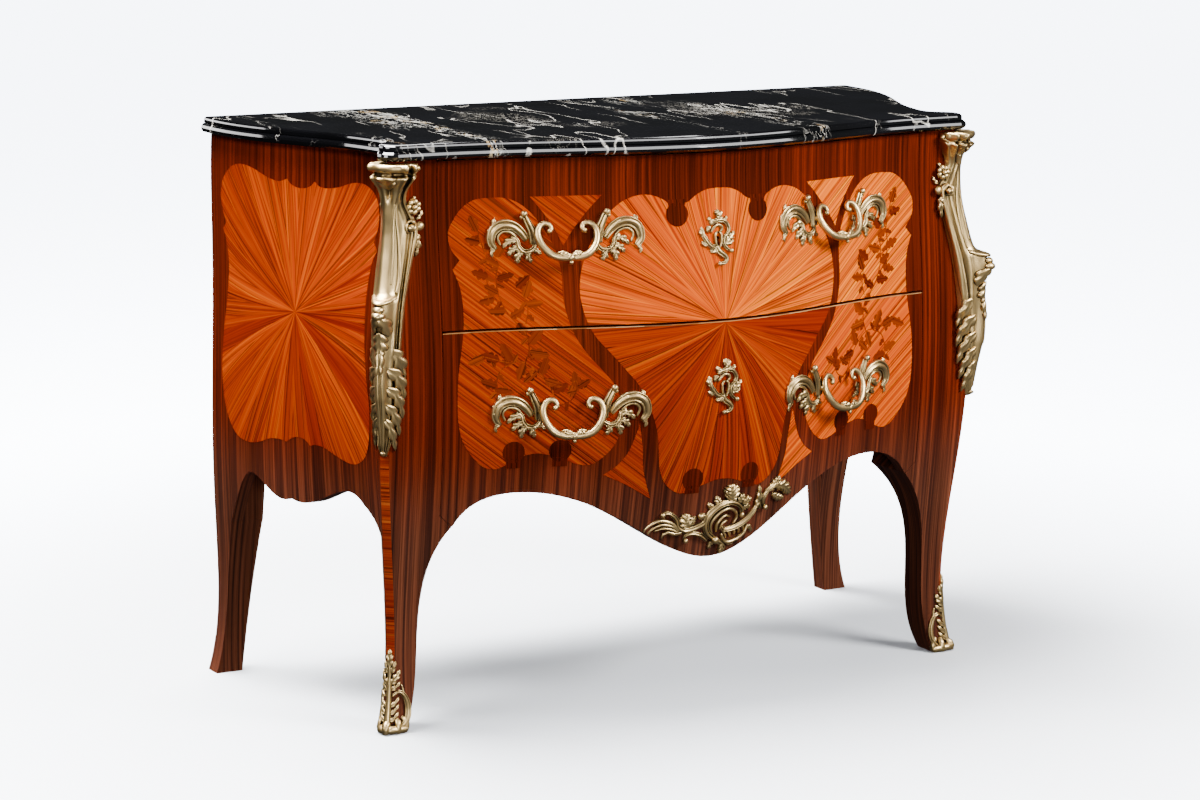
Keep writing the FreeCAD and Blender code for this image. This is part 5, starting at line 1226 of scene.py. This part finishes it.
# %% Escutcheons
def escutcheon(z):
    """The casting of one escutcheon round a keyhole."""
    cast = Casting(front_patch(0, z))
    for hand in (-1, 1):
        cast.stroke(handed(hand)([(1, 9), (5, 6), (5.2, -2), (4.2, -9), (1, -15)]),
                    [3, 4, 4, 4, 3], [4, 5, 5, 5, 4])
    cast.stroke([(-4, -12), (0, -20), (7, -25), (12, -31), (8, -37), (0, -38)],
                [9, 10, 8, 6, 5], [5, 6, 6, 6, 5], GROOVED)
    cast.bead(-2, -38, 3.4, 1.0)
    cast.leaf([(-2, -16), (-9, -19), (-16, -18)], 9, 5, 2)
    cast.stroke([(-5, -14), (-14, -11), (-20, -4), (-25, 5), (-25, 15)], [7, 8, 8, 6, 4], [4, 6, 6, 5, 3],
                GROOVED)
    cast.leaf([(-22, 2), (-28, 8), (-27, 18)], 9, 5, 3)
    cast.leaf([(-18, -7), (-25, -9), (-27, -3)], 8, 5, 2)
    cast.stroke([(-12, 20), (-4, 25), (5, 26), (14, 23), (19, 14), (17, 7), (10, 0), (9, -8), (13, -15),
                 (20, -20)],
                [5, 7, 7, 7, 6, 6, 6, 5], [4, 6, 6, 6, 6, 5, 5, 5], GROOVED)
    cast.bead(20, -20, 3.6, 1.0)
    cast.stroke([(-12, 9), (-8, 14), (-2, 19), (5, 18), (8, 13), (4, 9)], [4, 5, 5, 5, 4], [3, 5, 5, 5, 4])
    cast.leaf([(2, 25), (4, 33), (-2, 41)], 15, 7, 3)
    cast.leaf([(-6, 22), (-12, 27), (-14, 32)], 9, 5, 2)
    cast.leaf([(11, 23), (16, 29), (19, 31)], 8, 5, 2)
    cast.leaf([(12, -6), (20, 0), (30, 8)], 14, 6, 3)
    cast.leaf([(11, -8), (20, -8), (28, -4)], 10, 5, 3)
    cast.leaf([(-12, 18), (-17, 14), (-16, 8)], 8, 5, 2)
    return cast


for level, z in (("upper", UPPER_KEY_Z), ("lower", LOWER_KEY_Z)):
    escutcheon(z).pour(f"{level}_escutcheon_bronze", f"{level}_drawer", f"{level}_escutcheon")

# %% [markdown]
# The apron mount is a free, lopsided rocaille: a great C-scroll round a shell, a tail of leaves to the
# left, a rising scroll with a leaf to the right and a crest above. It lies on the tip of the apron. It could
# be one relief, but separate strokes that cross each other give the undercut shadows. Nothing in it repeats,
# so every stroke and leaf is written out, round one place on the front.

# %% Apron mount
APRON_X, APRON_Z = 14.5, 286.5
apron = Casting(front_patch(APRON_X, APRON_Z))
apron.stroke([(-13.5, -28), (-26, -17), (-31, -2), (-25, 13), (-10, 24.5), (7, 28), (22, 24.5), (32, 16),
              (32, 7)],
             [9, 10, 10, 10, 9, 8, 6], [7, 9, 9, 9, 8, 7], GROOVED)
apron.bead(-12, -29, 6.0, 1.0)
apron.bead(32, 6, 4.4, 1.5)
apron.stroke([(-17, -20), (-21, -5), (-12, 10), (5, 18), (20, 13), (25, 3), (19, -7)], [4, 6, 6, 6, 5, 3],
             [4, 6, 7, 6, 5])
apron.stroke([(-10, -17), (-9, -3), (2, 7), (13, 4)], [4, 6, 5, 3], [4, 6, 6, 4])
apron.stroke([(-4, -15), (0, -5), (9, -2)], [3, 5, 3], [3, 5, 3])
apron.stroke([(-2, -9), (4, -15), (20, -14), (40, -6), (55, 7), (63, 19), (70, 11)], [6, 8, 9, 9, 8, 6, 5],
             [6, 7, 8, 8, 7, 5], GROOVED)
apron.stroke([(0, -22), (10, -36), (28, -34), (43, -25), (48, -13)], [4, 6, 6, 6, 4], [4, 6, 6, 6, 4])
for k in range(5):
    u = 8 + 8 * k
    apron.stroke([(u - 4, -19 + 2 * k), (u + 1, -26 + 2.2 * k), (u + 2, -31 + 2.0 * k)], [3, 5, 3],
                 [2, 4, 2])
apron.leaf([(48, -14), (55, -20), (58, -27)], 9, 5, 2)
apron.stroke([(-12, -31), (0, -36), (9, -44), (6, -52)], [7, 8, 6, 4], [5, 6, 5, 3], GROOVED)
apron.leaf([(2, -38), (4, -46), (3, -55)], 13, 6, 3)
apron.leaf([(-12, -31), (-17, -37), (-18, -45)], 10, 5, 2)
apron.leaf([(12, -38), (20, -40), (26, -38)], 8, 4, 2)
apron.stroke([(-24, -30), (-37, -20), (-52, -16), (-63, -19), (-63, -26)], [6, 8, 7, 6, 4], [5, 7, 6, 5],
             GROOVED)
apron.bead(-62, -26, 4.0, 1.0)
apron.stroke([(-42, 12), (-32, 9), (-34, -1), (-50, -8), (-65, -10), (-76, -3), (-79, 7), (-85, 14),
              (-95, 20), (-104, 18)],
             [6, 8, 8, 9, 9, 8, 7, 6, 5], [5, 7, 7, 7, 7, 6, 6, 5], GROOVED)
apron.bead(-42, 12, 5.0, 1.5)
apron.bead(-104, 18, 4.0, 1.0)
apron.leaf([(-58, -6), (-64, 4), (-62, 15)], 26, 7, 5)
apron.leaf([(-56, -4), (-52, 4), (-47, 10)], 12, 5, 3)
for tip, width in (([(-74, -9), (-90, 4), (-110, 8), (-126, -2), (-130, -9)], 7),
                   ([(-75, -10), (-86, -2), (-104, 2), (-117, -4), (-124, -12)], 6),
                   ([(-76, -12), (-88, -6), (-101, -4), (-114, -8)], 5),
                   ([(-70, -13), (-82, -14), (-92, -11), (-100, -16), (-100, -21)], 7)):
    apron.stroke(tip, [width, width, width * 0.8, 2.5], [6, 6, 5, 2])
apron.leaf([(9, 28), (11, 40), (9, 55)], 32, 8, 5)
apron.leaf([(-8, 26), (-13, 33), (-16, 39)], 12, 6, 3)
apron.leaf([(-18, 20), (-25, 25), (-29, 30)], 10, 5, 2)
apron.leaf([(24, 25), (31, 32), (37, 36)], 15, 6, 3)
apron.leaf([(33, 22), (42, 27), (51, 27)], 15, 6, 3)
apron.leaf([(34, 14), (43, 17), (50, 14)], 12, 5, 3)
apron.leaf([(60, 12), (65, 30), (64, 48)], 13, 7, 3)
apron.stroke([(77, 12), (73, 24), (79, 37), (92, 45), (104, 46)], [5, 7, 8, 7, 5], [5, 7, 7, 6], GROOVED)
apron.bead(77, 12, 4.4, 1.0)
apron.leaf([(84, 36), (95, 46), (106, 56)], 18, 6, 4)
apron.leaf([(96, 42), (112, 40), (131, 25)], 22, 7, 5)
apron.leaf([(92, 30), (103, 24), (118, 20)], 15, 6, 4)
apron.pour("apron_mount_bronze", "lower_drawer", "apron_mount")

# %% [markdown]
# The corner mounts wrap round the canted front corners. Their flat coordinates are the way round the
# corner, measured on a circle about a line inside the post, and the height. Rays from outside find
# how far the wood is at each turn, so a casting can be drawn flat and still sit on the post.

# %% Surface round a front corner
posts = rays_onto(["right_front_stile"])
OUT = Vector((1, -1, 0)).normalized()
CORNER = Vector((0.502, BACK_Y - 0.440, 0))
LEG_CORE, POST_CORE = 28, 45  # millimetres
HEIGHT_STEP, WIDEST_TURN, TURN_STEP = 5.0, 78, 4  # millimetres and degrees
OUTSIDE, NEAR = 0.2, 0.15  # how far off the post rays start, in metres


def corner_surface(core, low, high):
    """A surface round the right front corner between two heights; core is the circle's radius in mm."""
    heights = np.arange(low, high + 1, HEIGHT_STEP)
    turns = np.radians(np.arange(-WIDEST_TURN, WIDEST_TURN + 1, TURN_STEP))
    middles, reaches = [], []
    for z in heights:
        start = CORNER + OUT * OUTSIDE + Vector((0, 0, z / 1000))
        middle = posts.ray_cast(start, -OUT, 2 * OUTSIDE)[0] - OUT * core / 1000
        row = []
        for turn in turns:
            way = Matrix.Rotation(turn, 3, "Z") @ OUT
            hit = posts.ray_cast(middle + way * NEAR, -way, NEAR)[0]
            row.append((hit - middle).length * 1000 if hit else core)
        middles.append(middle)
        reaches.append(row)
    reaches = np.array(reaches)

    def surface(a, z, lift):
        """A point from the way round, the height and the lift, blended from the four nearest rays."""
        i = min(max((z - low) / HEIGHT_STEP, 0), len(heights) - 1.001)
        j = min(max((a / core - turns[0]) / (turns[1] - turns[0]), 0), len(turns) - 1.001)
        i0, j0 = int(i), int(j)
        fi, fj = i - i0, j - j0
        reach = ((1 - fi) * ((1 - fj) * reaches[i0, j0] + fj * reaches[i0, j0 + 1])
                 + fi * ((1 - fj) * reaches[i0 + 1, j0] + fj * reaches[i0 + 1, j0 + 1]))
        way = Matrix.Rotation(a / core, 3, "Z") @ OUT
        place = middles[i0].lerp(middles[i0 + 1], fi) + way * (reach + lift) / 1000
        return Vector((place.x, place.y, z / 1000))
    return surface


leg_corner = corner_surface(LEG_CORE, 2, 452)
post_corner = corner_surface(POST_CORE, 402, 843)
print("corner at 600 mm:", [round(v, 4) for v in post_corner(0, 600, 0)])

# %% [markdown]
# Between the two mounts a strip of cherry, its grain laid across, fills the flat of the corner. A stripe in
# the rosewood would have its grain the wrong way, so short sheets are laid one above the other, as a maker
# lays crossbanding.

# %% Corner strips
cherry = tulipwood(
    "cherry_crossbanded", [(0.30, "#6E1C06"), (0.50, "#9A3410"), (0.70, "#B85A24")], "#D0A890")
BAND_HALF, BAND_FOOT, BAND_LENGTH, BAND_PITCH = 6.5, 100, 44, 4.0


def on_corner(a, z, lift, hand):
    """A point on a front corner in metres; hand is 1 for right and -1 for left."""
    point = leg_corner(1000 * a, 1000 * z, 1000 * lift)
    return Vector((hand * point.x, point.y, point.z))


for hand, side in ((1, "right"), (-1, "left")):
    strip = Sheets(50 + hand)
    for k in range(8):
        low, high = BAND_FOOT + BAND_LENGTH * k, BAND_FOOT + BAND_LENGTH * (k + 1)
        ring = [(-BAND_HALF, low), (BAND_HALF, low), (BAND_HALF, high), (-BAND_HALF, high)]
        strip.add(ring, 0, pitch=BAND_PITCH)
    strip.lay(f"{side}_corner_strip", "carcass", cherry,
              lambda a, z, lift, hand=hand: on_corner(a, z, lift, hand), VENEER_LIFT)

# %% [markdown]
# A chute hangs on each front corner. Its body is one smooth loft: a spreading cap, a narrow neck, a
# broad fluted panel that ends in a turned lip, and a long leaf that runs out to a point. Flowers and
# volutes sit at its sides, husks hang below the lip and curled lobes edge the leaf. This is the
# hardest casting of the piece. Piled strokes alone would leave gaps, so the body comes first. Tables over the
# height give how far it turns round the corner, how far it stands off and how high its ridge is. Two more
# give its shape across, from the middle to the edge.

# %% Outline and relief of a chute
CHUTE_TURN = [(420, 5), (432, 10), (442, 15), (458, 21), (475, 26), (495, 30), (515, 32), (535, 31),
              (555, 30), (588, 31), (625, 33), (652, 36), (675, 40), (700, 45), (725, 50), (745, 53),
              (760, 50), (772, 40), (782, 32), (791, 28), (800, 29), (808, 33), (817, 39), (825, 44),
              (832, 45), (843, 46)]
CHUTE_LIFT = [(420, 5), (433, 8), (452, 10), (475, 12), (512, 14), (550, 15), (600, 16), (640, 16),
              (665, 15), (700, 12), (740, 9.5), (770, 10.5), (785, 12), (800, 16), (808, 20), (817, 28),
              (824, 33), (828, 26), (831, 26), (834, 35), (839, 37), (843, 35)]
CHUTE_RIDGE = [(420, 1), (440, 2), (472, 4), (500, 8), (512, 11), (550, 13), (575, 12), (590, 12),
               (605, 16), (618, 24), (630, 27), (642, 26), (650, 24), (655, 14), (660, 8), (672, 5),
               (700, 3), (740, 1), (843, 1)]
PANEL = [(0, 0.84), (0.25, 0.86), (0.42, 0.92), (0.50, 1.10), (0.56, 1.10), (0.62, 0.60), (0.68, 0.52),
         (0.75, 0.94), (0.81, 0.92), (0.86, 0.64), (0.90, 0.58), (0.95, 0.50), (1, 0.02)]
LEAF = [(0, 0.70), (0.10, 1.0), (0.20, 0.90), (0.32, 0.50), (0.44, 0.80), (0.58, 0.40), (0.70, 0.66),
        (0.84, 0.30), (0.94, 0.36), (1, 0.02)]
LEAF_FROM, LEAF_BLEND = 585, 50
SLIT_Z, SLIT_TALL, SLIT_WIDE, SLIT_DEEP = 802, 14, 0.14, 0.5
RIDGE_WIDE, LEAST_HEIGHT = 0.40, 0.3


def smooth_table(points):
    """A smooth function through the rows of a table."""
    line = np.array(smooth_run(points, 6))
    return lambda place: float(np.interp(place, line[:, 0], line[:, 1]))


chute_turn = smooth_table(CHUTE_TURN)
chute_lift = smooth_table(CHUTE_LIFT)
chute_ridge = smooth_table(CHUTE_RIDGE)
panel_shape = smooth_table(PANEL)
leaf_shape = smooth_table(LEAF)


def half_width(z):
    """How far the chute reaches round the corner from its middle."""
    return POST_CORE * math.radians(chute_turn(z))


def chute_height(a, z):
    """How far the body of the chute stands off the post at a place."""
    share = min(abs(a) / half_width(z), 1.0)
    leafy = min(max((LEAF_FROM - z) / LEAF_BLEND, 0), 1)
    shape = (1 - leafy) * panel_shape(share) + leafy * leaf_shape(share)
    slit = SLIT_DEEP * math.exp(-((z - SLIT_Z) / SLIT_TALL) ** 2) * math.exp(-(share / SLIT_WIDE) ** 2)
    ridge = chute_ridge(z) * math.exp(-(share / RIDGE_WIDE) ** 2)
    return chute_lift(z) * (shape - slit) + ridge + LEAST_HEIGHT


def on_chute(a, z, lift):
    """A point on the body of the chute."""
    return post_corner(a, z, chute_height(a, z) + lift)


print("chute at its lip:", round(chute_height(0, 640), 1), "mm off the post")

# %% [markdown]
# The body is one skin of level rows. Strokes, husks and beads are then laid on that body, and flowers and
# lobes beside it on the post. The right one is drawn and flipped for the left.

# %% Chutes
def chute():
    """The casting of the right chute."""
    cast = Casting(post_corner)
    shares = [math.sin(t) for t in np.linspace(-math.pi / 2, math.pi / 2, 61)]
    rows = []
    for z in np.concatenate([np.arange(421, 822, 2.5), np.arange(822, 843.1, 1.5)]):
        wide = half_width(z)
        row = [post_corner(wide * k, z, chute_height(wide * k, z)) for k in shares]
        row += [post_corner(wide * k, z, cast.BACK) for k in (0.7, 0.35, 0.0, -0.35, -0.7)]
        rows.append(row)
    cast.skin(rows)
    cast.surface = on_chute
    for hand in (-1, 1):
        flip = handed(hand)
        cast.stroke(flip([(19, 812), (12, 798), (9, 780), (10, 760), (13, 735), (15, 705), (15, 680),
                          (13, 660)]),
                    [3, 4, 4, 4, 4, 3], [2, 2.5, 2.5, 2.5, 2])
        cast.stroke(flip([(7, 786), (6, 750), (7, 715), (7, 672)]), [2, 3, 3, 2], [1, 1.8, 1.8, 1])
        cast.stroke(flip([(24, 548), (20, 565), (21, 590), (23, 625), (26, 660), (30, 690), (34, 716),
                          (38, 738), (36, 755), (28, 760), (22, 753), (24, 745), (30, 745)]),
                    [4, 5, 5, 5, 5, 6, 8, 7, 4], [2.5, 3, 3, 3, 3, 4, 6, 6, 4])
        cast.bead(hand * 29, 751, 5.5, 1.0)
        cast.surface = post_corner
        cast.rosette(hand * 33, 780, 12, 4.0, 7)
        cast.bead(hand * 44, 752, 7.0, 1.0, 0.8)
        cast.leaf(flip([(38, 744), (42, 730), (42, 708)]), 14, 9, 3, (3, 2))
        cast.leaf(flip([(40, 762), (47, 766), (51, 774)]), 8, 5, 2, (1, 1))
        cast.leaf(flip([(30, 782), (34, 790), (40, 794)]), 8, 5, 2, (1, 1))
        cast.bead(hand * 40, 736, 4.5, 3.0)
        for k, z in enumerate((548, 520, 493, 468, 447)):
            reach = half_width(z)
            rise = chute_lift(z)
            lobe = [(reach * 0.20, z + 34), (reach * 0.70, z + 20), (reach * 1.06, z + 1),
                    (reach * 1.24, z - 18)]
            cast.leaf(flip(lobe), 24 - 2.6 * k, 8.0, 3, (rise * 0.85, rise * 0.70, 4.0, 1.0))
        cast.stroke(flip([(16, 833), (28, 829), (38, 836)]), [5, 6, 4], [4, 5, 4], rise=(22, 8))
        cast.bead(hand * 37, 836, 4.5, 6.0)
    cast.surface = on_chute
    cast.stroke([(-13, 656), (-7, 651), (0, 649), (7, 651), (13, 656)], [5, 7, 8, 7, 5], [4, 6, 7, 6, 4])
    cast.bead(0, 640, 5.0, -2.0)
    cast.bead(0, 631, 6.0, -2.0)
    cast.leaf([(0, 630), (-5, 618), (-8, 600)], 13, 6, 2)
    cast.leaf([(0, 630), (5, 618), (8, 600)], 13, 6, 2)
    cast.leaf([(0, 606), (0, 592), (0, 568)], 17, 7, 3)
    cast.leaf([(0, 578), (0, 562), (0, 540)], 11, 6, 2)
    cast.stroke([(0, 548), (0, 520), (0, 480), (0, 436)], [4, 4, 3, 2], [3, 3, 2, 1.5])
    cast.leaf([(0, 806), (0, 818), (0, 834)], 22, 5, 3)
    cast.bead(0, 426, 4.0, -3.0)
    return cast


for hand, side in ((1, "right"), (-1, "left")):
    chute().pour(f"{side}_chute_bronze", "carcass", f"{side}_chute", hand < 0)

# %% [markdown]
# A sabot shoes each front foot: a rolled toe in lobes, an open grooved loop on each face of the leg
# and a leafy stem that climbs the corner. The toe could be one rolled bar; short strokes set side by side on
# it give the lobes as well.

# %% Sabots
def sabot():
    """The casting of the right sabot."""
    cast = Casting(leg_corner)
    cast.stroke([(-36, 5), (-20, 7), (0, 8), (20, 7), (36, 5)], [9, 12, 13, 12, 9], [5, 9, 12, 9, 5])
    for a, tall in ((-30, 6), (-16, 10), (0, 15), (16, 10), (30, 6)):
        cast.stroke([(a * 1.05, 2), (a, 9), (a * 0.9, 18), (a * 0.7, 24)], [9, 11, 10, 5],
                    [tall * 0.8, tall, tall * 0.9, 3])
    cast.stroke([(0, 14), (0, 40), (0, 80), (0, 124)], [10, 8, 7, 5, 3], [9, 7, 6, 5, 3])
    for hand in (-1, 1):
        flip = handed(hand)
        cast.stroke(flip([(4, 56), (14, 62), (24, 54), (30, 38), (29, 20), (20, 8)]),
                    [4, 6, 8, 9, 9, 8], [4, 5, 6, 6, 7, 7], GROOVED)
        cast.stroke(flip([(22, 56), (21, 64), (18, 72)]), [5, 4, 2], [4, 3, 2])
        cast.leaf(flip([(1, 72), (8, 82), (15, 94)]), 13, 6, 3)
        cast.leaf(flip([(1, 64), (10, 70), (16, 76)]), 9, 5, 2)
        cast.leaf(flip([(1, 88), (5, 98), (8, 108)]), 9, 5, 2)
        for z in (18, 29, 40):
            cast.leaf(flip([(1, z), (8, z + 5), (15, z + 14)]), 8, 6, 2)
    cast.leaf([(0, 98), (0, 112), (0, 126)], 12, 6, 3)
    return cast


for hand, side in ((1, "right"), (-1, "left")):
    sabot().pour(f"{side}_sabot_bronze", "carcass", f"{side}_sabot", hand < 0)

# %% [markdown]
# Now every solid of the frame gets its finish from the slot that the record gives it. Each solid could be
# named here, but the slots keep the list short, and it stays right when a solid is added.

# %% Finishes of the solids
FINISH = {"marble": marble, "rosewood_veneer": rosewood, "carcass_oak": oak, "drawer_oak": oak,
          "gilt_bronze": bronze, "lock_brass": brass}
for part in frame["record"]["subparts"]:
    data = nodes[part["node"]].data
    data.materials.clear()
    data.materials.append(FINISH[part["material_slot"]])
